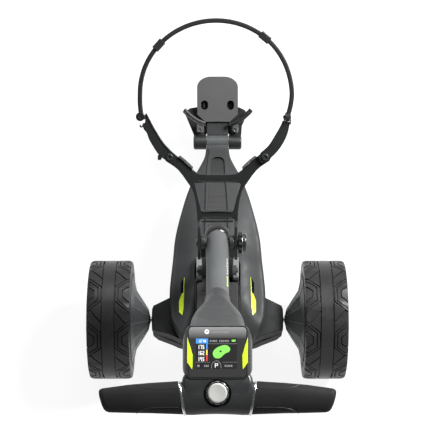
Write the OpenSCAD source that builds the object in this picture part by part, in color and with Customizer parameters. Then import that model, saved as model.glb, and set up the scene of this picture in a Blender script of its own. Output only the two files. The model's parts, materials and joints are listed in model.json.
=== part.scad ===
// Electric golf trolley: three wheels, folding frame, battery drive, console handle and bag supports.
// +X is to the right, +Y is forward and +Z is up. The origin is under the middle of the overall box.
// Each module below places its own sub-part; distances along Y are counted from the rear axle.

/* [Wheels] */
// Radius of the rear tyres
rear_r = 138; // [136:0.5:138]
// Distance from the middle of the trolley to the outer face of a rear tyre
track_half = 295; // [293:1:298]
// Width of one rear tyre
rear_w = 96; // [92:1:98]
// Radius of the front tyre
front_r = 94; // [91:1:94]
// Width of the front tyre
front_w = 50; // [44:1:50]
// Radius of the half shafts
shaft_r = 6; // [5.8:0.1:6.2]

/* [Pivots] */
// Distance that the rear axle lies behind the origin
axle_back = 95.1; // [80:0.1:110]
// Lower fold pivot, forward of the axle
fold_y = 80; // [79:0.5:81]
// Lower fold pivot, height
fold_z = 240; // [239:0.5:242]
// Upper hinge, forward of the axle
hinge_y = 8; // [6:1:10]
// Upper hinge, height
hinge_z = 579; // [576:1:582]
// Front hinge barrel, forward of the axle
front_y = 449; // [448:0.5:450]
// Front hinge barrel, height
front_z = 170; // [169.5:0.5:170.5]
// Front wheel centre, forward of the front hinge
front_wheel_ahead = 96; // [95:0.5:97]
// Radius of the hinge pins
pin_r = 6; // [5.5:0.1:6]

/* [Frame] */
// Half width inside the folding side rails
rail_in = 24; // [24:0.1:24.2]
// Thickness of a side rail
rail_t = 10; // [9:0.5:10]
// Half width of the drive housing
housing_half = 151; // [149:1:152]
// Length of the battery
battery_len = 128; // [120:1:128]
// Half width of the battery
battery_half = 48; // [46:0.5:48]
// Wall of the moulded covers
cover_wall = 3; // [2.5:0.1:3]

/* [Handle] */
// Angle of the stem above the horizontal, measured from the front
stem_angle = 142.8; // [142:0.2:143.4]
// Radius of the stem tube at the hinge
stem_r = 21.5; // [21:0.1:21.5]
// Half length of the handle over both grips
grip_half = 199; // [195:1:202]
// Tilt of the console face, rising forward
console_tilt = 20; // [19:0.5:21]
// Half width of the console glass
glass_half = 50; // [49:0.5:50]

/* [Bag supports] */
// Tilt of the lower bag plate, rising forward
bag_tilt = 30; // [29:0.5:31]
// Half width of the lower bag plate
plate_half = 49.6; // [47:0.2:50]
// Radius of the strap hoop to the middle of the strap
hoop_r = 156; // [154:0.5:156]
// Thickness of the strap
strap_t = 7; // [6:0.5:7]
// Width of the strap
strap_w = 14; // [12:0.5:15]

/* [Hidden] */
$fn = 64;

axle_z = rear_r;
fit = 0.05;
mid_angle = atan2(hinge_z - fold_z, hinge_y - fold_y);
mid_len = norm([hinge_y - fold_y, hinge_z - fold_z]);
wheel_y = front_y + front_wheel_ahead;
wheel_z = front_r;
tucked_y = 354.7;
tucked_z = 92;
rail_out = rail_in + rail_t;
leg_in = rail_out + 0.6;
leg_out = leg_in + 7.4;
lug_in = rail_out + 0.6;
lug_out = lug_in + 9;
console_y = -351.6;
console_z = 955.2;
grip_y = -79;
grip_z = -14;
tray_z = 176;
tray_half = battery_half + 1.4;
battery_front = 59.6;
// Centre of the strap hoop and its swing axis, both along the bag bracket
hoop_c = 303;
swing_c = 258;
strap_cut = 16;

// Half widths of the body cover along its length, from the neck to the tail
body_plan = [
    [422, 31], [395, 37], [360, 50], [323, 64], [283, 76], [249, 85], [212, 94], [173, 101],
    [120, 105], [77, 109], [45, 111], [0, 110], [-30, 104], [-58, 88], [-74, 74]
];
// Side line of the body cover's top, from the neck to the tail
body_top = [
    [422, 192], [395, 199], [355, 208], [300, 216], [200, 224], [60, 226], [0, 220], [-50, 200], [-74, 178]
];
// Half widths of the drive housing, from the motor bay in front to the tail
housing_plan = [
    [98, 52], [60, 56], [46, 76], [41, 111], [25, housing_half - 1], [20, housing_half], [-30, housing_half],
    [-34, housing_half - 1], [-52, 104], [-66, 76], [-68, 60]
];
housing_low = 102;
housing_top = 175.5;
// Under-cover screws: half spacing, distance forward of the axle and seat height
screw_places = [[60, 116, 104], [50, 222, 104], [118, 12, housing_low], [60, -50, housing_low]];
// Side line of the spine's top
spine_top = [[420, 187], [395, 193], [355, 203], [300, 211], [200, 214], [99, 214]];

// ---------------------------------------------------------------- placing

module at_axle() { translate([0, -axle_back, axle_z]) children(); }
module on_axle_line() { translate([0, -axle_back, 0]) children(); }
module at_fold() { translate([0, fold_y - axle_back, fold_z]) children(); }
module at_hinge() { translate([0, hinge_y - axle_back, hinge_z]) children(); }
module at_front() { translate([0, front_y - axle_back, front_z]) children(); }
module at_front_wheel() { translate([0, wheel_y - axle_back, wheel_z]) children(); }
module on_mid() { at_fold() rotate([mid_angle - 90, 0, 0]) children(); }
module on_stem() { at_hinge() rotate([stem_angle - 90, 0, 0]) children(); }
module on_bracket() { at_hinge() rotate([bag_tilt - 90, 0, 0]) children(); }
module on_plate() { at_front() rotate([bag_tilt, 0, 0]) children(); }
module on_console() {
    translate([0, console_y - axle_back, console_z]) rotate([console_tilt, 0, 0]) children();
}
// side +1 is the right side, -1 the left
module on_side(side) { mirror([side < 0 ? 1 : 0, 0, 0]) children(); }
module both_sides() {
    for (side = [-1, 1]) on_side(side) children();
}

// ---------------------------------------------------------------- shapes

// 2D (y, z) outline made into a plate between two places on X
module plate_x(x0, x1) { translate([x0, 0, 0]) rotate([90, 0, 90]) linear_extrude(x1 - x0) children(); }
// 2D (x, z) outline made into a plate between two places on Y
module plate_y(y0, y1) { translate([0, y1, 0]) rotate([90, 0, 0]) linear_extrude(y1 - y0) children(); }
module rod_x(r, x0, x1) { translate([x0, 0, 0]) rotate([0, 90, 0]) cylinder(h = x1 - x0, r = r); }
module ring_x(ro, ri, x0, x1) {
    difference() {
        rod_x(ro, x0, x1);
        rod_x(ri, x0 - 1, x1 + 1);
    }
}
// Profile points [radius, x] turned about the X axis
module turned_x(points) { rotate([0, 90, 0]) rotate_extrude() polygon(points); }
module box(low, high) { translate(low) cube(high - low); }
module link(p, q, rp, rq) {
    along = (q - p) / norm(q - p);
    across = [-along[1], along[0]];
    // the straight sides run just inside the round ends
    cut = 0.98;
    polygon([p + across * rp * cut, q + across * rq * cut, q - across * rq * cut, p - across * rp * cut]);
    translate(p) circle(rp);
    translate(q) circle(rq);
}
module rounded(w, h, r) {
    square([w - 2 * r, h], center = true);
    square([w, h - 2 * r], center = true);
    for (sx = [-1, 1], sy = [-1, 1])
        translate([sx * (w / 2 - r), sy * (h / 2 - r)]) circle(r);
}
module mirrored_outline(points) {
    count = len(points);
    polygon([
        for (p = points) [p[1], p[0]],
        for (i = [count - 1:-1:0]) [-points[i][1], points[i][0]]
    ]);
}
function inset(points, wall) = [for (p = points) [p[0], p[1] - wall]];
function lowered(points, drop) = [for (p = points) [p[0], p[1] - drop]];

// ---------------------------------------------------------------- chassis

// Region under the spine that the front wheel and its fork fold into
module wheel_tuck(extra) {
    translate([0, tucked_y, tucked_z]) rod_x(front_r + 7 + extra, -40, 40);
}

module spine() {
    color("#3a3c3d") on_axle_line() {
        difference() {
            union() {
                plate_x(-26.5, 26.5)
                    polygon(concat([[99, 150], [110, 120], [255, 128], [265, 154], [front_y, 154], [front_y, 186.5]],
                        spine_top));
                // cheeks of the beam behind the wheel recess
                both_sides()
                    plate_x(26, 44)
                        polygon([[99, 150], [110, 124], [246, 130], [248, 160], [262, 212.5], [200, 214], [99, 214]]);
            }
            wheel_tuck(0);
            translate([0, front_y, front_z]) rod_x(17.2, -30, 30);
        }
        // centre knuckle of the front hinge
        translate([0, front_y, front_z]) ring_x(17.5, pin_r + fit, -26.5, 26.5);
        // lugs of the lower fold pivot
        both_sides()
            plate_x(lug_in, lug_out)
                difference() {
                    union() {
                        translate([fold_y, fold_z]) circle(15);
                        polygon([[fold_y - 15, fold_z], [fold_y - 6, 212], [fold_y + 20, 205],
                            [fold_y + 60, 205], [fold_y + 60, 212], [fold_y + 15, fold_z]]);
                    }
                    translate([fold_y, fold_z]) circle(pin_r);
                }
    }
}

// Solid under the body cover's top, for a plan, a side line and a roof
module body_solid(plan, top, roof_drop) {
    intersection() {
        linear_extrude(260) mirrored_outline(plan);
        plate_x(-160, 160) polygon(concat(top, [[-74, 60], [422, 60]]));
        plate_y(-90, 440)
            polygon([[-52, 232 - roof_drop], [52, 232 - roof_drop], [100, 204 - roof_drop], [152, 170 - roof_drop],
                [152, 90], [-152, 90], [-152, 170 - roof_drop], [-100, 204 - roof_drop]]);
    }
}

module shroud() {
    color("#4c4f50") on_axle_line()
        difference() {
            body_solid(body_plan, body_top, 0);
            body_solid(inset(body_plan, cover_wall), lowered(body_top, cover_wall), cover_wall);
            // parting line with the drive housing and the under cover
            plate_x(-170, 170)
                polygon([[-100, 50], [-100, housing_top + 0.4], [98.5, housing_top + 0.4], [98.5, 141],
                    [250, 146], [450, 158], [450, 50]]);
            // battery bay and pivot opening, open to the tail
            box([-tray_half - 3.4, -90, 165], [tray_half + 3.4, 141, 300]);
            wheel_tuck(0);
            box([-170, front_y - 29, 60], [170, front_y, 188.4]);
        }
}

module belly_pan() {
    outer = inset(body_plan, cover_wall + 0.3);
    color("#232526") on_axle_line()
        difference() {
            intersection() {
                linear_extrude(200) mirrored_outline(outer);
                plate_x(-160, 160) polygon([[99, 104], [236, 104], [250, 118], [250, 145.4], [99, 140.6]]);
            }
            intersection() {
                linear_extrude(200) mirrored_outline(inset(outer, cover_wall));
                plate_x(-150, 150) polygon([[102, 107], [235, 107], [247, 119], [247, 160], [102, 160]]);
            }
            box([-45, 200, 124], [45, 260, 200]);
            for (p = screw_places) both_sides() translate([p[0], p[1], 90]) cylinder(h = 30, r = 3);
        }
}

// Solid of the drive housing, wall smaller all round
module housing_solid(wall) {
    intersection() {
        translate([0, 0, 60]) linear_extrude(160) mirrored_outline(inset(housing_plan, wall));
        plate_x(-160, 160)
            polygon([[98 - wall, 110 + wall], [88 - wall, housing_low + wall], [-58 + wall, housing_low + wall],
                [-68 + wall, 116 + wall], [-68 + wall, 166 - wall], [-60 + wall, housing_top - wall],
                [92 - wall, housing_top - wall], [98 - wall, 168 - wall]]);
        plate_y(-70, 100)
            mirrored_outline(inset([[housing_top - wall, 112], [164 - wall, housing_half], [120, housing_half],
                [housing_low + wall, housing_half - 12]], wall));
    }
}

module housing_shell() {
    difference() {
        on_axle_line() difference() {
            housing_solid(0);
            intersection() {
                housing_solid(cover_wall);
                box([12 - housing_half, -100, 0], [housing_half - 12, 120, 300]);
            }
            for (p = screw_places) both_sides() translate([p[0], p[1], 90]) cylinder(h = 20, r = 3);
        }
        at_axle() rod_x(13, -housing_half - 1, housing_half + 1);
    }
}

module drive_housing_upper() {
    color("#242626")
        intersection() {
            housing_shell();
            at_axle() box([-200, -80, 0], [200, 120, 60]);
        }
}

module drive_housing_lower() {
    color("#1f2121")
        intersection() {
            housing_shell();
            at_axle() box([-200, -80, -60], [200, 120, 0]);
        }
}

module drive_motor() {
    color("#6d7072") at_axle() {
        translate([0, 68, -4]) {
            rod_x(27, -44, 40);
            rod_x(12, -50, -44);
        }
    }
}

module gearbox() {
    color("#7d8082") at_axle()
        difference() {
            union() {
                rod_x(32, -38, 38);
                rod_x(18, -58, 58);
                plate_x(40.4, 48) link([0, 0], [68, -4], 28, 20);
            }
            rod_x(shaft_r + fit, -70, -40);
            rod_x(shaft_r + fit, 39, 70);
        }
}

module control_board() {
    color("#1f5a38") on_axle_line() {
        box([-38, -62, 119], [38, -60.4, 164]);
        box([-24, -60.4, 122], [4, -52, 140]);
        for (i = [0:2]) translate([14 + 8 * i, -60.4, 130]) rotate([-90, 0, 0]) cylinder(h = 9, r = 3.4);
    }
}

module battery_tray() {
    outer = tray_half + 2.6;
    color("#2b2d2e") on_axle_line()
        difference() {
            box([-outer, -71, tray_z], [outer, 63, 222]);
            box([-tray_half, -80, tray_z + 3], [tray_half, battery_front + 0.8, 240]);
            // slot for the socket's blades
            box([-17, 50, 192], [17, 70, 206]);
        }
}

module battery_socket() {
    color("#151617") on_axle_line() {
        box([-20, 63, 184], [20, 76, 214]);
        for (x = [-11, 0, 11]) box([x - 1.2, 50, 194], [x + 1.2, 63, 204]);
    }
}

module body_accents() {
    color("#c9dc2e") on_axle_line()
        both_sides()
            intersection() {
                plate_y(-90, 430) polygon([[52, 232.1], [52, 233.2], [100, 205.2], [100, 204.1]]);
                linear_extrude(300)
                    polygon([[75, 60], [78, 56], [86, 18], [87, -9], [78, -18], [77, -10], [80, 14]]);
            }
}

module fold_pin() {
    color("#a9acad") at_fold() {
        rod_x(pin_r, -lug_out, lug_out);
        both_sides() rod_x(10, lug_out, lug_out + 4);
    }
}

module axle_bearings() {
    color("#b9bcbe") at_axle()
        both_sides() ring_x(13, shaft_r + fit, housing_half - 11, housing_half - 1);
}

module cover_screws() {
    color("#8c8f91") on_axle_line()
        for (p = screw_places)
            both_sides() translate([p[0], p[1], p[2]]) {
                cylinder(h = 16, r = 3);
                translate([0, 0, -2.4]) cylinder(h = 2.4, r = 5);
            }
}

module frame_catch() {
    color("#c6d92f") on_mid()
        difference() {
            union() {
                translate([0, 0, 100]) rod_x(12, -8, 8);
                plate_x(-8, 8) link([0, 100], [-9, 70], 8, 5);
            }
            translate([0, 0, 100]) rod_x(8.1, -9, 9);
        }
}

// ---------------------------------------------------------------- battery

module battery_case() {
    y0 = battery_front - battery_len;
    color("#1d1f20") on_axle_line()
        difference() {
            box([-battery_half, y0, tray_z + 3.3], [battery_half, battery_front, 226]);
            for (x = [-11, 0, 11]) box([x - 2, 46, 191], [x + 2, 61, 207]);
        }
}

module battery_lid() {
    y0 = battery_front - battery_len;
    color("#2a2c2d") on_axle_line()
        difference() {
            translate([0, (y0 + battery_front) / 2 - 1, 226])
                linear_extrude(9) rounded(2 * battery_half, battery_len - 4, 9);
            box([-30, y0 + 12, 229], [30, y0 + 46, 240]);
            box([-18, y0 + 12, 226], [18, y0 + 46, 240]);
        }
}

module battery_bail() {
    y0 = battery_front - battery_len;
    color("#3b3e40") on_axle_line()
        translate([0, y0 + 16.5, 232.6]) {
            both_sides() {
                rod_x(3, 23, 29.4);
                box([23, 0, -2.8], [29.4, 28, 2.8]);
            }
            box([-29.4, 21, -2.8], [29.4, 28, 2.8]);
        }
}

// ---------------------------------------------------------------- folding middle frame

module mid_rail(side) {
    color("#47494a") on_mid() on_side(side)
        difference() {
            plate_x(rail_in, rail_out) {
                translate([-12, 0]) square([24, mid_len]);
                circle(14.5);
                translate([0, mid_len]) circle(17);
            }
            rod_x(pin_r + fit, rail_in - 1, rail_out + 1);
            translate([0, 0, mid_len]) rod_x(pin_r, rail_in - 1, rail_out + 1);
        }
}
module mid_rail_left() { mid_rail(-1); }
module mid_rail_right() { mid_rail(1); }

module mid_crossmember() {
    color("#5a5d5e") on_mid() translate([0, 0, 100]) rod_x(8, -rail_in, rail_in);
}

module upper_hinge_pin() {
    color("#b3b6b7") at_hinge() {
        rod_x(pin_r, -46, 64);
        rod_x(11, -50, -46);
    }
}

module hinge_head() {
    color("#3d4041") at_hinge()
        difference() {
            union() {
                rod_x(18, -11.7, 11.7);
                plate_x(-11.7, 11.7) rotate(-104) link([0, 0], [34, 0], 14, 9);
            }
            rod_x(pin_r + fit, -20, 20);
        }
}

// ---------------------------------------------------------------- stem and console

module stem_collar() {
    color("#333637") on_stem()
        difference() {
            union() {
                both_sides() plate_x(12.2, 23) {
                    circle(20);
                    translate([-20, 0]) square([40, 30]);
                }
                translate([0, 0, 22]) cylinder(h = 36, r = 23.3);
            }
            rod_x(pin_r + fit, -30, 30);
            rod_x(18.6, -12.2, 12.2);
            translate([0, 0, 32]) cylinder(h = 40, r = stem_r);
        }
}

module stem_tube() {
    color("#6c7071") on_stem()
        difference() {
            translate([0, 0, 32]) cylinder(h = 200, r1 = stem_r, r2 = stem_r - 0.6);
            translate([0, 0, 31]) cylinder(h = 202, r = stem_r - 3);
        }
}

// One cross-section of the neck, in the plane across its own direction
module neck_section(y, z, angle, w, d, r) {
    translate([0, y - axle_back, z]) rotate([angle - 90, 0, 0]) linear_extrude(1, $fn = 32) rounded(w, d, r);
}

module stem_neck() {
    color("#565a5b")
        difference() {
            union() {
                hull() {
                    neck_section(-163, 708, stem_angle, 47, 47, 23);
                    neck_section(-215, 762, 133, 54, 48, 20);
                }
                hull() {
                    neck_section(-215, 762, 133, 54, 48, 20);
                    neck_section(-268, 830, 127, 72, 52, 20);
                }
                hull() {
                    neck_section(-268, 830, 127, 72, 52, 20);
                    neck_section(-330, 917, 120, 94, 60, 20);
                }
            }
            on_stem() translate([0, 0, 150]) cylinder(h = 82, r = stem_r - 0.3);
        }
}

// Console tub: wide in the middle, narrow at the front
module console_base() {
    color("#26282a")
        difference() {
            hull() {
                on_console() translate([0, 0, -3]) linear_extrude(1, $fn = 32) rounded(2 * glass_half + 2, 89, 9);
                on_console() translate([0, -6, -16]) linear_extrude(1, $fn = 32) rounded(122, 62, 16);
                on_console() translate([0, -2, -34]) linear_extrude(1, $fn = 32) rounded(88, 66, 18);
            }
            on_console() translate([0, 0, -22]) linear_extrude(30) rounded(88, 74, 6);
            hull() {
                neck_section(-268, 830, 127, 72, 52, 20);
                neck_section(-330, 917, 120, 94, 60, 20);
            }
        }
}

module console_bezel() {
    color("#1b1d1f") on_console()
        difference() {
            translate([0, 0, -2]) linear_extrude(3.4) rounded(2 * glass_half + 3, 90, 8);
            translate([0, 0, 0]) linear_extrude(4) rounded(2 * glass_half - 3, 84, 7);
            translate([0, -4, -3]) linear_extrude(4) rounded(72.6, 54.6, 2);
        }
}

module screen_glass() {
    color("#303436") on_console() translate([0, 0, 0]) linear_extrude(1.6) rounded(2 * glass_half - 3.4, 83.6, 6.8);
}

// Display panel on its own circuit board
module display_module() {
    color("#10161c") on_console() {
        translate([0, -4, -3.6]) linear_extrude(3.6) rounded(72, 54, 1);
        translate([0, -3, -5.2]) linear_extrude(1.6) square([80, 66], center = true);
        translate([-20, -10, -13.2]) linear_extrude(8) square([22, 12], center = true);
        translate([22, 8, -10.2]) linear_extrude(5) square([14, 14], center = true);
    }
}

module console_accents() {
    color("#e6ec5c") on_console()
        both_sides()
            translate([0, 0, 1.6]) linear_extrude(0.7)
                polygon([[53.6, 23], [48.9, 23], [44, -6], [44, -30], [47, -31], [49.6, -18], [50.6, 0]]);
}

module handle_core() {
    color("#2a2d2e") on_console()
        difference() {
            hull() {
                for (x = [-50, 50]) translate([x * 0.98, grip_y, grip_z]) rotate([0, 90, 0])
                    linear_extrude(2, center = true, $fn = 32) scale([18, 28]) circle(1);
                translate([0, -45.2, -4]) rotate([90, 0, 0]) linear_extrude(1, $fn = 32) rounded(120, 7, 3.4);
                translate([0, -45.2, -26]) rotate([90, 0, 0]) linear_extrude(1, $fn = 32) rounded(104, 7, 3.4);
            }
            // seat of the speed dial
            translate([0, grip_y + 11, -7]) cylinder(h = 30, r = 24);
            both_sides()
                linear_extrude(120, center = true) polygon([[61.6, -47], [51.2, -112], [90, -112], [90, -47]]);
        }
}

module handle_trims() {
    color("#d7d9da") on_console()
        both_sides()
            intersection() {
                hull() {
                    for (x = [48, 66]) translate([x, grip_y, grip_z]) rotate([0, 90, 0])
                        linear_extrude(1, center = true, $fn = 32) scale([18.6, 28.8]) circle(1);
                }
                linear_extrude(120, center = true)
                    polygon([[61.7, -48], [51.3, -112], [54.3, -112], [64.7, -48]]);
            }
}

// One cross-section of a grip: across X, centred in the handle's plane
module grip_section(x, shift, hy, hz, slant) {
    translate([x, grip_y + shift, grip_z]) rotate([0, 90, 0]) rotate([slant, 0, 0])
        linear_extrude(1.5, center = true, $fn = 32) scale([hz, hy]) circle(1);
}

module grip(side) {
    color("#1c1d1e") on_console() on_side(side)
        difference() {
            union() {
                hull() {
                    grip_section(52, 0, 28, 18, 0);
                    grip_section(114, 0.6, 25.4, 17, 0);
                }
                hull() {
                    grip_section(114, 0.6, 25.4, 17, 0);
                    grip_section(151, -0.8, 23.2, 16, 0);
                }
                hull() {
                    grip_section(151, -0.8, 23.2, 16, 0);
                    grip_section(grip_half - 8, -2.6, 19.8, 14, -18);
                }
            }
            linear_extrude(120, center = true) polygon([[64.8, -48], [54.4, -112], [30, -112], [30, -40], [66, -40]]);
        }
}
module grip_left() { grip(-1); }
module grip_right() { grip(1); }

module dial_ring() {
    color("#5d6164") on_console() translate([0, grip_y + 11, 0])
        difference() {
            translate([0, 0, -6.6]) cylinder(h = 12.6, r = 21);
            translate([0, 0, -7]) cylinder(h = 20, r = 17);
            for (i = [0:8]) rotate(40 * i) translate([21.4, 0, -7]) cylinder(h = 20, r = 1.8);
        }
}

module dial_cap() {
    color("#c4c5bf") on_console() translate([0, grip_y + 11, 0])
        rotate_extrude() polygon([[0, -2.4], [16.6, -2.4], [16.6, 7.4], [15.4, 9], [0, 9.8]]);
}

// ---------------------------------------------------------------- upper bag support

module bracket_outline() {
    // legs and lower bar
    for (s = [-1, 1])
        polygon([[s * leg_in, 14], [s * leg_out, 14], [s * (leg_out + 0.6), 66], [s * 50, 106], [s * 62, 128],
            [s * 79, 150], [s * 104, 170], [s * 97, 187], [s * 82, 178], [s * 64, 164], [s * 48, 149],
            [s * 36, 141], [s * 40, 124], [s * 46, 122], [s * 33, 67], [s * 30, 66], [s * 30, 50], [s * leg_in, 50]]);
    translate([-36, 50]) square([72, 17]);
    translate([-44, 124]) square([88, 17]);
}

module bag_bracket() {
    color("#2f3233") on_bracket()
        difference() {
            union() {
                plate_y(-5, 5) bracket_outline();
                both_sides() plate_x(leg_in, leg_out) {
                    circle(17);
                    translate([-5, 0]) square([10, 40]);
                }
            }
            rod_x(pin_r + fit, -60, 60);
            both_sides() translate([97, 0, 177]) rotate([90, 0, 0]) cylinder(h = 30, r = 4, center = true);
        }
}

module bracket_arm(side) {
    color("#292b2c") on_bracket() on_side(side)
        difference() {
            union() {
                plate_y(-12, -5.4)
                    polygon([[90, 180], [101, 190], [116, 210], [127, 228], [133, 242], [136, 254], [145.6, 254],
                        [145.6, 243], [153, 237], [143, 231], [136, 213], [124, 189], [112, 168], [100, 166]]);
                translate([0, -12, swing_c]) rod_x(6, 136, 145.6);
                translate([0, -12, swing_c]) rod_x(3, 140, 156.5);
            }
            translate([97, 0, 177]) rotate([90, 0, 0]) cylinder(h = 30, r = 4, center = true);
        }
}
module bracket_arm_left() { bracket_arm(-1); }
module bracket_arm_right() { bracket_arm(1); }

module bracket_pads() {
    color("#5f6263") on_bracket()
        both_sides()
            plate_y(-9, 4)
                polygon([[50, 150.875], [64, 164], [80, 176.4444], [76, 181], [60, 169], [47, 154]]);
}

module arm_bolts() {
    color("#7b7e80") on_bracket()
        both_sides() translate([97, 0, 177]) rotate([90, 0, 0]) {
            translate([0, 0, -9]) cylinder(h = 21, r = 4);
            translate([0, 0, 12]) cylinder(h = 3, r = 7);
            translate([0, 0, -9]) cylinder(h = 4, r = 7);
        }
}

module strap() {
    color("#242627") on_bracket()
        translate([0, -12, 0]) difference() {
            union() {
                translate([0, 0, hoop_c]) rotate([90, 0, 0])
                    linear_extrude(strap_w, center = true)
                        difference() {
                            circle(hoop_r + strap_t / 2);
                            circle(hoop_r - strap_t / 2);
                            polygon([[0, 0], [-300, -300 * tan(strap_cut)], [-300, -400], [300, -400],
                                [300, -300 * tan(strap_cut)]]);
                        }
                // eyes that turn on the arm pins
                both_sides() translate([0, 0, swing_c]) {
                    rod_x(8.5, 146.2, 155.6);
                    box([146.2, -5, 0], [154, 5, 12]);
                }
            }
            both_sides() translate([0, 0, swing_c]) {
                rod_x(3 + fit, 140, 160);
                rod_x(10, 130, 146);
            }
        }
}

module strap_clips() {
    color("#1d1f20") on_bracket()
        translate([0, -12, hoop_c]) {
            for (a = [138, 50.5])
                rotate([0, -a, 0]) translate([hoop_r, 0, 0])
                    difference() {
                        cube([strap_t + 6, strap_w + 5, 24], center = true);
                        cube([strap_t + 1.2, strap_w + 0.2, 30], center = true);
                    }
        }
}

module clamp_knob() {
    color("#3f4345") at_hinge()
        difference() {
            union() {
                rod_x(14, leg_out + 3, 48);
                rod_x(22, 47, 64);
                for (i = [0:9]) rotate([36 * i, 0, 0]) translate([0, 21, 0]) rod_x(3.4, 48, 63);
            }
            rod_x(pin_r + fit, 30, 64.2);
        }
}

// ---------------------------------------------------------------- front fork and lower bag support

module fork_deck_outline() {
    // the left side carries a wider web
    polygon([[27.2, 0], [58, 0], [58, 18], [60, 40], [72, 66], [72, 80], [52, 86], [-52, 86], [-72, 82], [-79, 66],
        [-58, 18], [-58, 0], [-27.2, 0], [-27.2, 22], [27.2, 22]]);
}

module front_fork() {
    color("#2e3132") {
        at_front() difference() {
            both_sides() rod_x(17.5, 27, 59);
            rod_x(pin_r, 20, 60);
            rod_x(pin_r, -60, -20);
        }
        on_plate() difference() {
            union() {
                translate([0, 0, -14]) linear_extrude(7) fork_deck_outline();
                translate([0, 38, -7]) linear_extrude(8.5) square([51, 32], center = true);
                both_sides() translate([43.2, 31, -8]) cylinder(h = 23, r = 2.95);
                both_sides() translate([43.2, 31, 14.4]) cylinder(h = 2.6, r = 5.5);
            }
            rotate([-bag_tilt, 0, 0]) rod_x(18, -27, 27);
        }
        on_axle_line() difference() {
            both_sides() plate_x(28.6, 36) link([front_y, front_z], [wheel_y, wheel_z], 14, 12);
            translate([0, front_y, front_z]) rod_x(17, -60, 60);
            translate([0, wheel_y, wheel_z]) rod_x(5, -60, 60);
        }
    }
}

module bag_plate() {
    corner_r = 26;
    corner_y = 134.6;
    color("#6b6d6c") on_plate()
        difference() {
            translate([0, 0, 1.5]) linear_extrude(6)
                polygon(concat(
                    [for (a = [0:7.5:90]) [plate_half - corner_r * (1 - cos(a)), corner_y + corner_r * sin(a)]],
                    [for (a = [90:-7.5:0]) [corner_r * (1 - cos(a)) - plate_half, corner_y + corner_r * sin(a)]],
                    [[-plate_half, 69], [-30.6, 50.8], [30.6, 50.8], [plate_half, 69]]
                ));
            both_sides() translate([31.7, 91.3, 0]) linear_extrude(20) {
                square([17, 6], center = true);
                for (s = [-1, 1]) translate([0, 3 * s]) circle(8.5);
            }
        }
}

module lower_arm(side) {
    color("#6f7274") on_plate() on_side(side)
        difference() {
            union() {
                translate([43.2, 31, -6.6]) linear_extrude(20.6) {
                    circle(7.5);
                    polygon([[-7.2, 0], [7.2, 0], [7.2, 22], [0.8, 19], [-7.2, 15]]);
                }
                translate([0, 145, 16]) rotate(-73) rotate_extrude(angle = 35) translate([104, 0]) circle(5.6);
            }
            translate([43.2, 31, -10]) cylinder(h = 40, r = 3);
        }
}
module lower_arm_left() { lower_arm(-1); }
module lower_arm_right() { lower_arm(1); }

// Front wheel axle and the pin of the front hinge
module front_pins() {
    color("#a3a6a8") {
        at_front_wheel() {
            rod_x(5, -38, 38);
            both_sides() rod_x(8, 36, 39);
        }
        at_front() rod_x(pin_r, -59, 59);
    }
}

module front_tyre() {
    h = front_w / 2;
    color("#363839") at_front_wheel()
        turned_x([[70, -h + 4], [70, h - 4], [78, h], [86, h - 1], [91, h - 5], [front_r - 0.8, h - 12], [front_r, 4],
            [front_r - 2, 3], [front_r - 2, -3], [front_r, -4], [front_r - 0.8, -h + 12], [91, -h + 5],
            [86, -h + 1], [78, -h]]);
}

module front_rim() {
    color("#4d5052") at_front_wheel() {
        ring_x(70, 65, -20, 20);
        ring_x(13, 5 + fit, -24, 24);
        for (i = [0:4]) rotate([72 * i, 0, 0]) box([-9, -7, 12], [9, 7, 66]);
    }
}

// ---------------------------------------------------------------- rear wheels

module rear_tyre(side) {
    x1 = track_half;
    x0 = track_half - rear_w;
    xm = (x0 + x1) / 2;
    color("#37393a") at_axle() on_side(side)
        turned_x([
            [104, x1 - 22], [104, x1 - 8], [112, x1], [131, x1], [rear_r - 1.5, x1 - 1.5], [rear_r, x1 - 4],
            [rear_r, xm + 3], [rear_r - 3, xm + 2], [rear_r - 3, xm - 2], [rear_r, xm - 3],
            [rear_r, x0 + 4], [rear_r - 1.5, x0 + 1.5], [131, x0], [112, x0], [104, x0 + 8], [104, x0 + 22],
            [114, x0 + 10], [124, x0 + 10], [129, x0 + 15], [129, x1 - 15], [124, x1 - 10], [114, x1 - 10]
        ]);
}
module rear_tyre_left() { rear_tyre(-1); }
module rear_tyre_right() { rear_tyre(1); }

module rear_rim(side) {
    color("#54575a") at_axle() on_side(side) {
        turned_x([
            [shaft_r, 158], [9, 158], [24, 161.5], [46, 175], [70, 189.8], [84, 193.4], [103, 197.4], [104, 199],
            [104, 287], [99, 287], [99, 203], [84, 199.5], [68, 195.5], [44, 181.5], [22, 168], [16, 172], [16, 262],
            [shaft_r, 262]
        ]);
        for (i = [0:5]) rotate([60 * i, 0, 0]) box([263, -10, 21], [270, 10, 99.5]);
        ring_x(26, 10, 258, 274);
    }
}
module rear_rim_left() { rear_rim(-1); }
module rear_rim_right() { rear_rim(1); }

module half_shaft(side) {
    color("#c9cbcc") at_axle() on_side(side) rod_x(shaft_r, 42, 264);
}
module half_shaft_left() { half_shaft(-1); }
module half_shaft_right() { half_shaft(1); }

module release_button(side) {
    color("#c6d92f") at_axle() on_side(side) rod_x(9.6, 269, 281);
}
module release_button_left() { release_button(-1); }
module release_button_right() { release_button(1); }

// ---------------------------------------------------------------- drawing

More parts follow.
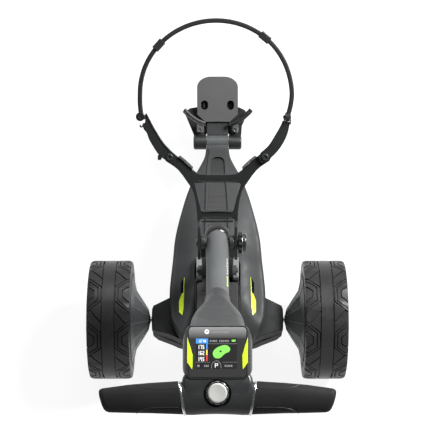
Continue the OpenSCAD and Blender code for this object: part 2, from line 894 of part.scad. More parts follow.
spine();
shroud();
belly_pan();
drive_housing_upper();
drive_housing_lower();
drive_motor();
gearbox();
control_board();
battery_tray();
battery_socket();
body_accents();
fold_pin();
axle_bearings();
cover_screws();
battery_case();
battery_lid();
battery_bail();
mid_rail_left();
mid_rail_right();
mid_crossmember();
upper_hinge_pin();
frame_catch();
hinge_head();
stem_collar();
stem_tube();
stem_neck();
console_base();
console_bezel();
screen_glass();
display_module();
console_accents();
handle_core();
handle_trims();
grip_left();
grip_right();
dial_ring();
dial_cap();
bag_bracket();
bracket_arm_left();
bracket_arm_right();
bracket_pads();
arm_bolts();
strap();
strap_clips();
clamp_knob();
front_fork();
bag_plate();
lower_arm_left();
lower_arm_right();
front_pins();
front_tyre();
front_rim();
rear_tyre_left();
rear_rim_left();
half_shaft_left();
release_button_left();
rear_tyre_right();
rear_rim_right();
half_shaft_right();
release_button_right();
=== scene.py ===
import json
import math

import bmesh
import bpy
from mathutils import Matrix, Vector

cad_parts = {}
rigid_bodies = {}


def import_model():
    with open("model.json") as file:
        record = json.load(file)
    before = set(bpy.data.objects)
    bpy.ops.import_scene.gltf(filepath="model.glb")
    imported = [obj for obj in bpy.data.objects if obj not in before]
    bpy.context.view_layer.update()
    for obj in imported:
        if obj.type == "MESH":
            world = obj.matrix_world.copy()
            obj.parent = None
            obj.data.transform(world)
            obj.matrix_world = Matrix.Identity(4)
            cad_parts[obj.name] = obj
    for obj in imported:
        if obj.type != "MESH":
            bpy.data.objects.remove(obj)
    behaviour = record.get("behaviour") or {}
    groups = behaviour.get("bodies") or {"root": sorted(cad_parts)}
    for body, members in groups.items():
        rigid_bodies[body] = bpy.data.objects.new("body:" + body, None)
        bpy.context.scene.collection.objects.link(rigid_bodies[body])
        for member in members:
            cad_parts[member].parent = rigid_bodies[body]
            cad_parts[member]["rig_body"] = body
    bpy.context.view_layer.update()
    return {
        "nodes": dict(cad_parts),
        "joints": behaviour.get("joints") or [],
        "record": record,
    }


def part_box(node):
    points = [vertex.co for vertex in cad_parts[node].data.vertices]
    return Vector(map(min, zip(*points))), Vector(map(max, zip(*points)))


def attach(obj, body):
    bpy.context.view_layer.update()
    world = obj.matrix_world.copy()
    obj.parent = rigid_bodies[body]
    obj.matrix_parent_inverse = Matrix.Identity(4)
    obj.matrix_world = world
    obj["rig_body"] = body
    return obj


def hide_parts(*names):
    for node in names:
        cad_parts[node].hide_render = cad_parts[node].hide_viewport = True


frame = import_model()

MM = 0.001
# Turns a plate drawn as (around, outward) and thick along its own Z to lie across the X axis
AXIAL = Matrix(((0, 0, 1, 0), (1, 0, 0, 0), (0, 1, 0, 0), (0, 0, 0, 1)))
# Turns a plate drawn as (x, z) and thick along its own Z to be thick along Y
UPRIGHT = Matrix(((1, 0, 0, 0), (0, 0, 1, 0), (0, 1, 0, 0), (0, 0, 0, 1)))
# Turns the lathe's axis from X to Z; what was lathe Z ends on the +Y side
STEM_AXIS = Matrix(((0, 1, 0, 0), (0, 0, 1, 0), (1, 0, 0, 0), (0, 0, 0, 1)))
# Turns the lathe's axis from X to Y
BOLT_AXIS = Matrix(((0, 1, 0, 0), (1, 0, 0, 0), (0, 0, 1, 0), (0, 0, 0, 1)))
SIDES = (("left", -1), ("right", 1))


# ---------------------------------------------------------------- local frames, in millimetres

def joint_point(name):
    return Vector(next(j for j in frame["joints"] if j["name"] == name)["pos_m"])


def placed(point, degrees=0.0):
    turn = Matrix.Rotation(math.radians(degrees), 4, "X")
    return Matrix.Translation(point) @ turn @ Matrix.Diagonal((MM, MM, MM, 1.0))


AXLE = joint_point("wheel_left_spin")
AXLE.x = 0.0
FOLD = joint_point("frame_fold")
HINGE = joint_point("head_fold")
FRONT = joint_point("front_fold")
FRONT_WHEEL = joint_point("front_wheel_spin")
DIAL = joint_point("dial_turn")
BAG_TILT = 30.0
STEM_ANGLE = 142.8
CONSOLE_TILT = 20.0
DIAL_OFFSET = 68.0
MID_ANGLE = math.degrees(math.atan2(HINGE.z - FOLD.z, HINGE.y - FOLD.y))

GROUND = placed(Vector((0.0, AXLE.y, 0.0)))
WHEELS = placed(AXLE)
STEM = placed(HINGE, STEM_ANGLE - 90.0)
BRACKET = placed(HINGE, BAG_TILT - 90.0)
AT_HINGE = placed(HINGE)
AT_FRONT = placed(FRONT)
AT_FRONT_WHEEL = placed(FRONT_WHEEL)
PLATE = placed(FRONT, BAG_TILT)
MID = placed(FOLD, MID_ANGLE - 90.0)
DIAL_FRAME = placed(DIAL, CONSOLE_TILT)
CONSOLE = DIAL_FRAME @ Matrix.Translation((0.0, DIAL_OFFSET, 0.0))


# ---------------------------------------------------------------- curves and outlines

def spline(points, steps=6, closed=False):
    """Catmull-Rom line through the points."""
    count = len(points)
    line = []
    spans = count if closed else count - 1
    for i in range(spans):
        places = (i - 1, i, i + 1, i + 2)
        if closed:
            near = [points[k % count] for k in places]
        else:
            near = [points[min(max(k, 0), count - 1)] for k in places]
        a, b, c, d = (Vector(p) for p in near)
        for k in range(steps):
            t = k / steps
            line.append(tuple(0.5 * (2 * b + (c - a) * t + (2 * a - 5 * b + 4 * c - d) * t**2
                                     + (3 * b - a - 3 * c + d) * t**3)))
    if not closed:
        line.append(tuple(points[-1]))
    return line


def ramp(table, key):
    """Linear reading of a table of (key, value), in any order of keys."""
    rows = sorted(table)
    if key <= rows[0][0]:
        return rows[0][1]
    for (k0, v0), (k1, v1) in zip(rows, rows[1:]):
        if key <= k1:
            return v0 + (v1 - v0) * (key - k0) / (k1 - k0)
    return rows[-1][1]


def arc(cx, cy, radius, start, stop, steps=8):
    angles = [math.radians(start + (stop - start) * i / steps) for i in range(steps + 1)]
    return [(cx + radius * math.cos(a), cy + radius * math.sin(a)) for a in angles]


def round_rect(width, height, radius, steps=6, cx=0.0, cy=0.0):
    x = width / 2 - radius
    y = height / 2 - radius
    corners = ((x, y, 0), (-x, y, 90), (-x, -y, 180), (x, -y, 270))
    line = []
    for px, py, start in corners:
        line += arc(cx + px, cy + py, radius, start, start + 90, steps)
    return line


def slot_outline(cx, cy, half_width, half_length, steps=10):
    straight = half_length - half_width
    line = arc(cx, cy + straight, half_width, 0, 180, steps)
    return line + arc(cx, cy - straight, half_width, 180, 360, steps)


def mirrored(points):
    return [(-p[0],) + tuple(p[1:]) for p in reversed(points)]


def both_halves(points):
    """An outline given on its right half, completed with the left half."""
    return list(points) + mirrored(points)


def on_circle(x, radius, turn):
    """A point of a circle about the X axis; turn is in radians."""
    return x, radius * math.cos(turn), radius * math.sin(turn)


def to_side(side):
    """Lays a plate drawn as (around, outward) on one side of the middle, thick along X."""
    return Matrix.Diagonal((side, 1, 1, 1)) @ AXIAL


# ---------------------------------------------------------------- mesh building

def break_edges(part, offset, segments, angle):
    """Bevels the edges at which the surface turns by more than the angle."""
    part.normal_update()
    limit = math.radians(angle)
    edges = [e for e in part.edges if len(e.link_faces) == 2 and e.calc_face_angle(0.0) > limit]
    bevel_edges(part, edges, offset, segments)


def bevel_edges(part, edges, offset, segments=2, profile=0.5):
    bmesh.ops.bevel(part, geom=edges, offset=offset, offset_type="OFFSET", segments=segments,
                    profile=profile, affect="EDGES", clamp_overlap=True)


def thicken(part, height):
    """Extrudes a flat part along Z and gives the raised vertices."""
    grown = bmesh.ops.extrude_face_region(part, geom=part.faces[:])
    raised = [v for v in grown["geom"] if isinstance(v, bmesh.types.BMVert)]
    bmesh.ops.translate(part, verts=raised, vec=(0.0, 0.0, height))
    return raised


class Shape:
    """Collects the parts of one piece. Every part is given in millimetres in a local frame."""

    def __init__(self, place):
        self.place = place
        self.mesh = bmesh.new()

    def take(self, part, local=None, bevel=0.0, segments=2, angle=28.0):
        bmesh.ops.remove_doubles(part, verts=part.verts, dist=0.0005)
        bmesh.ops.recalc_face_normals(part, faces=part.faces)
        if bevel:
            break_edges(part, bevel, segments, angle)
        if local is not None:
            bmesh.ops.transform(part, matrix=local, verts=part.verts)
        mesh = bpy.data.meshes.new("part")
        part.to_mesh(mesh)
        part.free()
        self.mesh.from_mesh(mesh)
        bpy.data.meshes.remove(mesh)
        return self

    def faces(self, points, faces, **options):
        part = bmesh.new()
        verts = [part.verts.new(p) for p in points]
        for face in faces:
            part.faces.new([verts[i] for i in face])
        return self.take(part, **options)

    def prism(self, outline, low, high, holes=(), side=1, **options):
        """A plate between two heights, with holes. side mirrors it across the middle."""
        part = bmesh.new()
        edges = []
        for loop in (outline, *holes):
            verts = [part.verts.new((side * x, y, low)) for x, y in loop]
            edges += [part.edges.new((verts[i - 1], verts[i])) for i in range(len(verts))]
        if holes:
            bmesh.ops.triangle_fill(part, edges=edges, use_beauty=True)
        else:
            part.faces.new(part.verts[:])
        thicken(part, high - low)
        return self.take(part, **options)

    def box(self, low, high, bevel=0.6, **options):
        outline = [(low[0], low[1]), (high[0], low[1]), (high[0], high[1]), (low[0], high[1])]
        return self.prism(outline, low[2], high[2], bevel=bevel, **options)

    def loft(self, rings, caps=True, closed=True, **options):
        part = bmesh.new()
        rows = [[part.verts.new(p) for p in ring] for ring in rings]
        count = len(rows[0])
        for lower, upper in zip(rows, rows[1:]):
            for i in range(count if closed else count - 1):
                j = (i + 1) % count
                part.faces.new((lower[i], lower[j], upper[j], upper[i]))
        if caps:
            part.faces.new(rows[0])
            part.faces.new(rows[-1])
        return self.take(part, **options)

    def turned(self, profile, segments=72, sweep=360.0, side=1, shift=0.0, **options):
        """Profile points (radius, x) turned about the local X axis and joined last to first.
        shift moves the profile outward and side mirrors it."""
        whole = sweep >= 360.0
        steps = segments if whole else segments + 1
        angles = [math.radians(sweep * i / segments) for i in range(steps)]
        rings = []
        for r, x in profile:
            rings.append([on_circle(side * (shift + x), max(r, 0.001), a) for a in angles])
        return self.loft(rings + [rings[0]], caps=False, closed=whole, **options)

    def rod(self, radius, x0, x1, chamfer=0.8, **options):
        edge = min(chamfer, radius / 2)
        line = [(0.001, x0), (radius - edge, x0), (radius, x0 + edge), (radius, x1 - edge),
                (radius - edge, x1), (0.001, x1)]
        return self.turned(line, segments=48, **options)

    def tube(self, path, radius, sides=16, scale=(1.0, 1.0), up=(0.0, 0.0, 1.0)):
        """A bar along a path. radius is a number, or a function of the share of the path."""
        points = [Vector(p) for p in path]
        rings = []
        for i, here in enumerate(points):
            ahead = (points[min(i + 1, len(points) - 1)] - points[max(i - 1, 0)]).normalized()
            side = ahead.cross(Vector(up)).normalized()
            over = side.cross(ahead)
            r = radius(i / (len(points) - 1)) if callable(radius) else radius
            ring = []
            for k in range(sides):
                a = 2 * math.pi * k / sides
                ring.append(here + side * (r * scale[0] * math.cos(a))
                            + over * (r * scale[1] * math.sin(a)))
            rings.append(ring)
        return self.loft(rings)

    def finish(self, name, body, paint, replaces=(), slot=None, sharp=32.0, weighted=True):
        """Makes the piece. Its material slot has the paint's name. The slot argument is not used."""
        bmesh.ops.transform(self.mesh, matrix=self.place, verts=self.mesh.verts)
        bmesh.ops.recalc_face_normals(self.mesh, faces=self.mesh.faces)
        return settled(name, self.mesh, body, paint, replaces, sharp, weighted)


def settled(name, mesh, body, paint, replaces, sharp, weighted=True):
    """The finished object: shaded, painted and riding on its body."""
    data = bpy.data.meshes.new(name)
    mesh.to_mesh(data)
    mesh.free()
    data.polygons.foreach_set("use_smooth", [True] * len(data.polygons))
    data.set_sharp_from_angle(angle=math.radians(sharp))
    obj = bpy.data.objects.new(name, data)
    bpy.context.scene.collection.objects.link(obj)
    data.materials.append(PAINTS[paint].material)
    if weighted:
        weigh_normals(obj)
    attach(obj, body)
    if replaces:
        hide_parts(*replaces)
    return obj


def weigh_normals(obj):
    modifier = obj.modifiers.new("normals", "WEIGHTED_NORMAL")
    modifier.keep_sharp = True


def refined(node, paint, bevel):
    """A CAD node's own shape with its edges broken, standing in for the node."""
    source = frame["nodes"][node]
    part = bmesh.new()
    part.from_mesh(source.data)
    bmesh.ops.remove_doubles(part, verts=part.verts, dist=0.00002)
    bmesh.ops.dissolve_limit(part, angle_limit=math.radians(1.0), verts=part.verts, edges=part.edges)
    break_edges(part, bevel * MM, 3, 24.0)
    return settled(node + "_shape", part, source["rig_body"], paint, (node,), 34.0)


def settle_modifiers(obj):
    """Replaces the object's mesh with what its modifiers make."""
    bpy.context.view_layer.update()
    shown = obj.evaluated_get(bpy.context.evaluated_depsgraph_get())
    data = bpy.data.meshes.new_from_object(shown)
    obj.modifiers.clear()
    obj.data = data


def cutter_from(shape):
    bmesh.ops.transform(shape.mesh, matrix=shape.place, verts=shape.mesh.verts)
    bmesh.ops.recalc_face_normals(shape.mesh, faces=shape.mesh.faces)
    data = bpy.data.meshes.new("cutter")
    shape.mesh.to_mesh(data)
    shape.mesh.free()
    obj = bpy.data.objects.new("cutter", data)
    bpy.context.scene.collection.objects.link(obj)
    return obj


def carve(obj, *shapes, overlapping=False, sharp=None):
    """Cuts the shapes out of an object; overlapping is for one whose own parts run into each other."""
    cutters = [cutter_from(shape) for shape in shapes]
    for cutter in cutters:
        cut = obj.modifiers.new("cut", "BOOLEAN")
        cut.operation = "DIFFERENCE"
        cut.solver = "EXACT"
        cut.use_self = overlapping
        cut.object = cutter
    settle_modifiers(obj)
    for cutter in cutters:
        bpy.data.objects.remove(cutter)
    if sharp:
        obj.data.set_sharp_from_angle(angle=math.radians(sharp))


# ---------------------------------------------------------------- materials

SLOTS = {p["node"]: p["material_slot"] for p in frame["record"]["subparts"]}
PAINTS = {}


def linear(level):
    c = level / 255
    return c / 12.92 if c <= 0.04045 else ((c + 0.055) / 1.055) ** 2.4


class Paint:
    """Node graph of one procedural finish, in the piece's own coordinates."""

    def __init__(self, name):
        self.material = bpy.data.materials.new(name)
        self.material.use_nodes = True
        self.tree = self.material.node_tree
        self.tree.nodes.clear()
        self.coords = self.tree.nodes.new("ShaderNodeTexCoord").outputs["Object"]
        self.bsdf = self.tree.nodes.new("ShaderNodeBsdfPrincipled")
        out = self.tree.nodes.new("ShaderNodeOutputMaterial")
        self.link(self.bsdf.outputs[0], out.inputs[0])

    def link(self, source, target):
        self.tree.links.new(source, target)

    def noise(self, scale, detail=2.0, rough=0.5, stretch=None):
        node = self.tree.nodes.new("ShaderNodeTexNoise")
        node.inputs["Scale"].default_value = scale
        node.inputs["Detail"].default_value = detail
        node.inputs["Roughness"].default_value = rough
        source = self.coords
        if stretch:
            mapping = self.tree.nodes.new("ShaderNodeMapping")
            mapping.inputs["Scale"].default_value = stretch
            self.link(source, mapping.inputs[0])
            source = mapping.outputs[0]
        self.link(source, node.inputs["Vector"])
        return node.outputs["Fac"]

    def ranged(self, value, low, high, to_low, to_high):
        node = self.tree.nodes.new("ShaderNodeMapRange")
        self.link(value, node.inputs[0])
        for slot, number in zip((1, 2, 3, 4), (low, high, to_low, to_high)):
            node.inputs[slot].default_value = number
        return node.outputs[0]

    def times(self, a, b):
        node = self.tree.nodes.new("ShaderNodeMath")
        node.operation = "MULTIPLY"
        self.link(a, node.inputs[0])
        if isinstance(b, float):
            node.inputs[1].default_value = b
        else:
            self.link(b, node.inputs[1])
        return node.outputs[0]

    def mixed(self, share, first, second):
        node = self.tree.nodes.new("ShaderNodeMix")
        node.data_type = "RGBA"
        self.link(share, node.inputs["Factor"])
        for slot, colour in ((6, first), (7, second)):
            if isinstance(colour, tuple):
                node.inputs[slot].default_value = (*colour, 1.0)
            else:
                self.link(colour, node.inputs[slot])
        return node.outputs[2]

    def bumped(self, height, strength, depth):
        node = self.tree.nodes.new("ShaderNodeBump")
        node.inputs["Strength"].default_value = strength
        node.inputs["Distance"].default_value = depth
        self.link(height, node.inputs["Height"])
        return node.outputs[0]

    def place_along(self, axis):
        """The object coordinate along X, Y or Z (0, 1 or 2)."""
        node = self.tree.nodes.new("ShaderNodeSeparateXYZ")
        self.link(self.coords, node.inputs[0])
        return node.outputs[axis]


def finish_paint(name, colour, rough=0.5, metal=0.0, grain=900.0, grain_depth=0.12, spread=0.12,
                 wear=0.25, coat=0.0, specular=0.4, brushed=None, glow=0.0):
    """colour is the finish's linear RGB. grain is the fine texture's scale, spread the colour variation,
    wear the lightening of edges, brushed the stretch of a brushed grain and glow its own light."""
    paint = Paint(name)
    PAINTS[name] = paint
    broad = paint.noise(9.0, 3.0)
    fine = paint.noise(grain, 3.0, 0.6, stretch=brushed)
    smudge = paint.noise(55.0, 4.0, 0.6)
    dark = tuple(c * (1.0 - spread) for c in colour)
    light = tuple(min(c * (1.0 + spread), 1.0) for c in colour)
    shade = paint.mixed(paint.ranged(broad, 0.3, 0.7, 0.0, 1.0), dark, light)
    geometry = paint.tree.nodes.new("ShaderNodeNewGeometry")
    edge = paint.ranged(geometry.outputs["Pointiness"], 0.53, 0.6, 0.0, 1.0)
    rubbed = paint.times(paint.times(edge, paint.ranged(smudge, 0.35, 0.7, 0.2, 1.0)), wear)
    worn = tuple(min(c * 1.7 + 0.02, 1.0) for c in colour)
    shade = paint.mixed(rubbed, shade, worn)
    paint.link(shade, paint.bsdf.inputs["Base Color"])
    paint.link(paint.ranged(smudge, 0.3, 0.75, max(rough - 0.06, 0.04), min(rough + 0.09, 1.0)),
               paint.bsdf.inputs["Roughness"])
    paint.bsdf.inputs["Metallic"].default_value = metal
    paint.bsdf.inputs["Specular IOR Level"].default_value = specular
    paint.bsdf.inputs["Coat Weight"].default_value = coat
    paint.bsdf.inputs["Coat Roughness"].default_value = 0.08
    paint.link(paint.bumped(fine, grain_depth, 0.0003), paint.bsdf.inputs["Normal"])
    if glow:
        paint.link(shade, paint.bsdf.inputs["Emission Color"])
        paint.bsdf.inputs["Emission Strength"].default_value = glow
    return paint


def grey(level, tint=(1.0, 1.0, 1.0)):
    return tuple(linear(level) * t for t in tint)


# A slightly cool tint of grey
COOL = (0.95, 1.0, 1.02)


def plastic_finishes():
    finish_paint("frame_black", grey(33, COOL), 0.42, grain=700.0)
    finish_paint("cover_dark", grey(53, COOL), 0.46, grain=1100.0, grain_depth=0.1, specular=0.2)
    finish_paint("cover_black", grey(24, COOL), 0.44, grain=1100.0)
    finish_paint("lime_trim", (0.62, 0.82, 0.035), 0.36, spread=0.04, wear=0.05, coat=0.2)
    finish_paint("battery_shell", grey(26), 0.5, grain=650.0, grain_depth=0.2)
    finish_paint("console_black", grey(40, COOL), 0.34, grain=1200.0)
    finish_paint("display", grey(30), 0.3, coat=0.4, wear=0.0)
    finish_paint("bracket_black", grey(32, COOL), 0.42, grain=800.0, grain_depth=0.16, specular=0.2)
    finish_paint("plate_grey", grey(80), 0.5, grain=1200.0, grain_depth=0.16, spread=0.05, specular=0.2)
    # painted shade for the slit beside the lime flash
    finish_paint("slit_painted_shade", grey(6), 0.8, grain=400.0, wear=0.0, specular=0.1)
    finish_paint("fairing_grey", grey(112, COOL), 0.5, grain=1100.0, grain_depth=0.1, specular=0.2)
    finish_paint("housing_dark", grey(36, COOL), 0.5, grain=1100.0, grain_depth=0.1, specular=0.12)
    finish_paint("rim_grey", grey(72, COOL), 0.42, grain=1100.0, grain_depth=0.08, specular=0.2)
    finish_paint("knob_dark", grey(50), 0.3, 0.5, grain=700.0, coat=0.2)
    finish_paint("circuit_board", (0.01, 0.09, 0.04), 0.35, coat=0.3)


def metal_finishes():
    finish_paint("steel", grey(176), 0.26, 1.0, grain=420.0, brushed=(1.0, 22.0, 22.0), wear=0.1)
    finish_paint("cast_alloy", grey(150), 0.5, 0.9, grain=380.0, grain_depth=0.35)
    finish_paint("stem_gunmetal", grey(86, (0.96, 1.0, 1.02)), 0.42, specular=0.06, grain=600.0,
                 grain_depth=0.05, brushed=(1.0, 1.0, 30.0), wear=0.1)
    finish_paint("bright_trim", grey(208), 0.22, 1.0, grain=500.0, grain_depth=0.04, wear=0.0)
    finish_paint("dial_chrome", grey(132), 0.28, 1.0, grain=500.0, grain_depth=0.04)
    finish_paint("dial_face", grey(204, (1.0, 1.0, 0.96)), 0.34, 0.35, spread=0.04, grain=300.0,
                 grain_depth=0.05, brushed=(1.0, 1.0, 1.0), wear=0.0)
    finish_paint("bolt_dark", grey(62), 0.4, 0.5, grain=420.0, wear=0.1)
    # painted highlight for the creases of the hub covers
    finish_paint("hub_crease_highlight", grey(112, COOL), 0.35, grain=420.0, wear=0.0)


def rubber_finishes():
    finish_paint("grip_rubber", grey(31), 0.62, grain=1500.0, grain_depth=0.2, specular=0.12)
    finish_paint("pad_rubber", grey(74), 0.6, grain=900.0, grain_depth=0.2, specular=0.3)
    finish_paint("strap_rubber", grey(24), 0.55, grain=900.0, grain_depth=0.2, specular=0.3)
    finish_paint("tyre_rubber", grey(42), 0.36, grain=700.0, grain_depth=0.15, specular=0.2)


def glass_with_painted_sheen():
    """Dark glass with a painted reflection: its far edge is painted paler, as a soft sheen lying across it.
    """
    glass = finish_paint("screen_glass", grey(60), 0.12, grain=200.0, grain_depth=0.0, spread=0.02, wear=0.0,
                         coat=0.6)
    # painted reflection: the glass's colour grows paler towards its far edge
    sheen = glass.ranged(glass.place_along(1), DIAL.y + 0.084, DIAL.y + 0.106, 0.0, 1.0)
    glass.link(glass.mixed(sheen, grey(54), grey(156)), glass.bsdf.inputs["Base Color"])


def screen_finishes():
    """Colours of the lit display."""
    for name, colour in (("black", grey(40)), ("white", grey(225)), ("grey", grey(122)),
                         ("blue", (0.06, 0.24, 0.62)), ("yellow", (0.75, 0.6, 0.08)),
                         ("red", (0.6, 0.05, 0.04)), ("green", (0.2, 0.62, 0.1))):
        glow = 0.0 if name == "black" else 0.35
        finish_paint("lcd_" + name, colour, 0.3, grain=300.0, grain_depth=0.0, spread=0.02, wear=0.0,
                     glow=glow)


plastic_finishes()
metal_finishes()
rubber_finishes()
glass_with_painted_sheen()
screen_finishes()


def paint_cad_nodes():
    for node, obj in frame["nodes"].items():
        obj.data.materials.clear()
        obj.data.materials.append(PAINTS[SLOTS[node]].material)


# ---------------------------------------------------------------- rear wheels

REAR_R = 138.0
REAR_IN = 199.0
REAR_OUT = 295.0
REAR_MID = (REAR_IN + REAR_OUT) / 2
TREAD_PERIODS = 8
TREAD_STEP = 2 * math.pi * REAR_R / TREAD_PERIODS
TREAD_START = 129.8
# Tread blocks of one shoulder in one period, as (along the tread, across it from the middle)
LUGS = (
    ((-19.0, 48.0), (-7.2, 33.0), (7.2, 33.0), (19.0, 48.0)),
    ((-35.0, 48.0), (-16.0, 24.0), (16.0, 24.0), (35.0, 48.0), (21.8, 48.0), (8.6, 31.0), (-8.6, 31.0),
     (-21.8, 48.0)),
    ((-43.5, 48.0), (-17.5, 17.0), (17.5, 17.0), (43.5, 48.0), (37.4, 48.0), (17.0, 21.8), (-17.0, 21.8),
     (-37.4, 48.0)),
    ((45.6, 48.0), (19.4, 15.4), (40.1, 15.4), (68.2, 40.5), (62.8, 48.0)),
    ((43.3, 15.4), (89.0, 15.4), (70.4, 39.3)),
)
LUG_HEIGHT = 5.0
RIB_HALF = 13.6


def crown(across):
    """Tread radius at a distance from the tyre's middle."""
    beyond = max(abs(across) - 44.0, 0.0)
    return REAR_R - 0.35 * beyond - 0.16 * beyond * beyond


def tread_point(along, across, depth, side):
    turn = math.radians(TREAD_START) - along / REAR_R
    radius = crown(across) - depth
    return on_circle(side * (REAR_MID + across), radius, turn)


def tread_block(shape, outline, side):
    """One block: its flat outline is cut finely along the tread, thickened and wrapped on the tyre."""
    part = bmesh.new()
    part.faces.new([part.verts.new((u, v, 0.0)) for u, v in outline])
    low = min(u for u, v in outline)
    high = max(u for u, v in outline)
    cuts = int((high - low) / 7.0)
    for i in range(1, cuts + 1):
        plane = low + (high - low) * i / (cuts + 1)
        bmesh.ops.bisect_plane(part, geom=part.verts[:] + part.edges[:] + part.faces[:],
                               plane_co=(plane, 0, 0), plane_no=(1, 0, 0))
    thicken(part, LUG_HEIGHT)
    part.normal_update()
    rim = [e for e in part.edges if len(e.link_faces) == 2 and e.calc_face_angle(0.0) > 0.5
           and all(v.co.z > LUG_HEIGHT - 0.1 for v in e.verts)]
    bevel_edges(part, rim, 0.9, profile=0.6)
    for v in part.verts:
        v.co = tread_point(v.co.x, v.co.y, LUG_HEIGHT - v.co.z, side)
    shape.take(part)


def build_rear_tyre(name, side):
    carcass = Shape(WHEELS)
    floor_r = REAR_R - 4.4
    half = (REAR_OUT - REAR_IN) / 2
    inner = [(104.0, -26.0), (104.0, -40.0), (108.0, -45.5), (114.0, -48.2), (122.0, -48.4), (129.0, -47.4),
             (floor_r - 1.0, -45.4), (floor_r, -43.0)]
    rib = [(REAR_R, RIB_HALF - 0.6), (REAR_R - 0.6, RIB_HALF), (floor_r - 1.0, RIB_HALF)]
    rings = [inner + [(r, -x) for r, x in reversed(inner)], [(r, -x) for r, x in reversed(rib)] + rib]
    for ring_r, proud in ((111.0, 0.1), (126.4, 0.35)):
        for s in (-1, 1):
            at = s * (half + proud)
            foot = at - s * 2.0
            rings.append([(ring_r - 1.2, foot), (ring_r - 0.8, at), (ring_r + 0.8, at), (ring_r + 1.2, foot)])
    for ring in rings:
        carcass.turned(ring, 144, side=side, shift=REAR_MID)
    for k in range(TREAD_PERIODS):
        for flip in (1, -1):
            for lug in LUGS:
                outline = [(k * TREAD_STEP + flip * u, flip * v) for u, v in lug]
                tread_block(carcass, outline, side)
    carcass.finish("rear_tread_" + name, "wheel_" + name, "tyre_rubber", ("rear_tyre_" + name,),
                   sharp=30.0)


# Hub cover facing the frame: radius and place along the axle, on the ridges
HUB_LINE = ((9.0, 158.2), (24.0, 161.5), (46.0, 175.0), (70.0, 190.2), (103.2, 197.4))
HUB_CREASES = 12
HUB_TURNS = [math.radians(117.0 + 360.0 / HUB_CREASES * k) for k in range(HUB_CREASES)]


def build_hub_cover(name, side):
    """Faceted dish on the wheel's inner side, with a fine ridge along each crease, the ridges painted lighter
    as a painted highlight on the creases.
    """
    body = "wheel_" + name
    cover = Shape(WHEELS)
    rings = [[on_circle(side * x, r, turn) for turn in HUB_TURNS] for r, x in HUB_LINE]
    back_rim = [(x + side * 3.5, y * 0.985, z * 0.985) for x, y, z in rings[-1]]
    cover.loft(rings + [back_rim], caps=False)
    cover.faces(rings[0], [list(range(HUB_CREASES))])
    nut = ((6.4, 158.6), (8.8, 156.8), (9.6, 158.4), (9.6, 160.0), (6.4, 160.0))
    cover.turned(nut, 48, side=side)
    cover.finish("rear_hub_cover_" + name, body, "rim_grey", sharp=4.0, weighted=False)
    # painted highlight: the fine ridges are painted lighter than the dish, standing in for light catching
    # each crease
    ridges = Shape(WHEELS)
    for turn in HUB_TURNS:
        line = [on_circle(side * (x - 0.1), r, turn) for r, x in HUB_LINE]
        ridges.tube(line, 0.55, 8, up=(1.0, 0.0, 0.0))
    ridges.finish("rear_hub_crease_highlights_" + name, body, "hub_crease_highlight", slot="rim_grey", weighted=False)


def build_rear_rim(name, side):
    rim = Shape(WHEELS)
    barrel = ((104.0, 199.5), (104.4, 210.0), (104.0, 240.0), (104.0, 284.0), (105.6, 287.6), (104.6, 289.4),
              (100.0, 289.4), (98.6, 287.0), (98.0, 240.0), (98.0, 214.0), (92.0, 208.0), (99.0, 199.0))
    boss = ((17.0, 190.0), (20.0, 250.0), (30.0, 262.0), (30.0, 271.0), (27.0, 274.6), (14.0, 275.4),
            (11.4, 273.6), (10.4, 268.0), (10.4, 190.0))
    rim.turned(barrel, 96, side=side)
    rim.turned(boss, side=side)
    edge = [(13.0, 99.6), (8.0, 78.0), (9.5, 52.0), (15.0, 24.0)]
    spoke = mirrored(edge) + edge
    groove = [(-3.0, 40.0), (-3.0, 90.0), (3.0, 90.0), (3.0, 40.0)]
    for k in range(6):
        to_wheel = Matrix.Rotation(math.radians(60 * k), 4, "X") @ to_side(side)
        rim.prism(spoke, 258.0, 271.0, bevel=2.4, segments=3, local=to_wheel)
        rim.prism(groove, 270.0, 272.0, bevel=0.7, local=to_wheel)
    rim.finish("rear_rim_" + name + "_spoked", "wheel_" + name, "rim_grey", ("rear_rim_" + name,))


def build_axle_end(name, side):
    """Half-shaft and the wheel's release button."""
    button = Shape(WHEELS)
    ends = (269.0, 280.6) if side > 0 else (-280.6, -269.0)
    button.rod(9.4, *ends, chamfer=1.6)
    button.finish("release_cap_" + name, "release_" + name, "lime_trim", ("release_button_" + name,))
    shaft = Shape(WHEELS)
    line = ((0.001, 42.0), (6.0, 42.0), (6.0, 152.0), (5.2, 153.0), (5.2, 155.0), (6.0, 156.0), (6.0, 263.0),
            (5.0, 264.0), (0.001, 264.0))
    shaft.turned(line, 48, side=side)
    shaft.finish("axle_shaft_" + name, "wheel_" + name, "steel", ("half_shaft_" + name,))


# ---------------------------------------------------------------- front wheel

def front_lug(shape, start, side):
    """One block of the front tyre's shoulder, wrapped on the tyre."""
    part = bmesh.new()
    outline = ((-11.0, 6.0), (8.0, 6.0), (13.0, 21.0), (-4.0, 21.0))
    part.faces.new([part.verts.new((u, v, 0.0)) for u, v in outline])
    thicken(part, 4.2)
    bevel_edges(part, part.edges[:], 0.7)
    for v in part.verts:
        turn = math.radians(start) + v.co.x / 94.0
        radius = 89.4 + v.co.z - 0.006 * max(v.co.y - 8.0, 0.0) ** 2
        v.co = on_circle(side * v.co.y, radius, turn)
    shape.take(part)


def build_front_tyre():
    tyre = Shape(AT_FRONT_WHEEL)
    line = [(69.8, -20.0), (72.0, -23.0), (78.0, -25.0), (85.0, -24.2), (89.0, -21.6), (90.4, -18.0)]
    tyre.turned(line + [(r, -x) for r, x in reversed(line)], 120)
    tyre.turned([(89.0, -3.6), (93.4, -3.6), (94.0, -3.0), (94.0, 3.0), (93.4, 3.6), (89.0, 3.6)], 120)
    for k in range(18):
        front_lug(tyre, k * 20.0, -1)
        front_lug(tyre, k * 20.0 + 10.0, 1)
    tyre.finish("front_tread", "front_wheel", "tyre_rubber", ("front_tyre",), sharp=30.0)


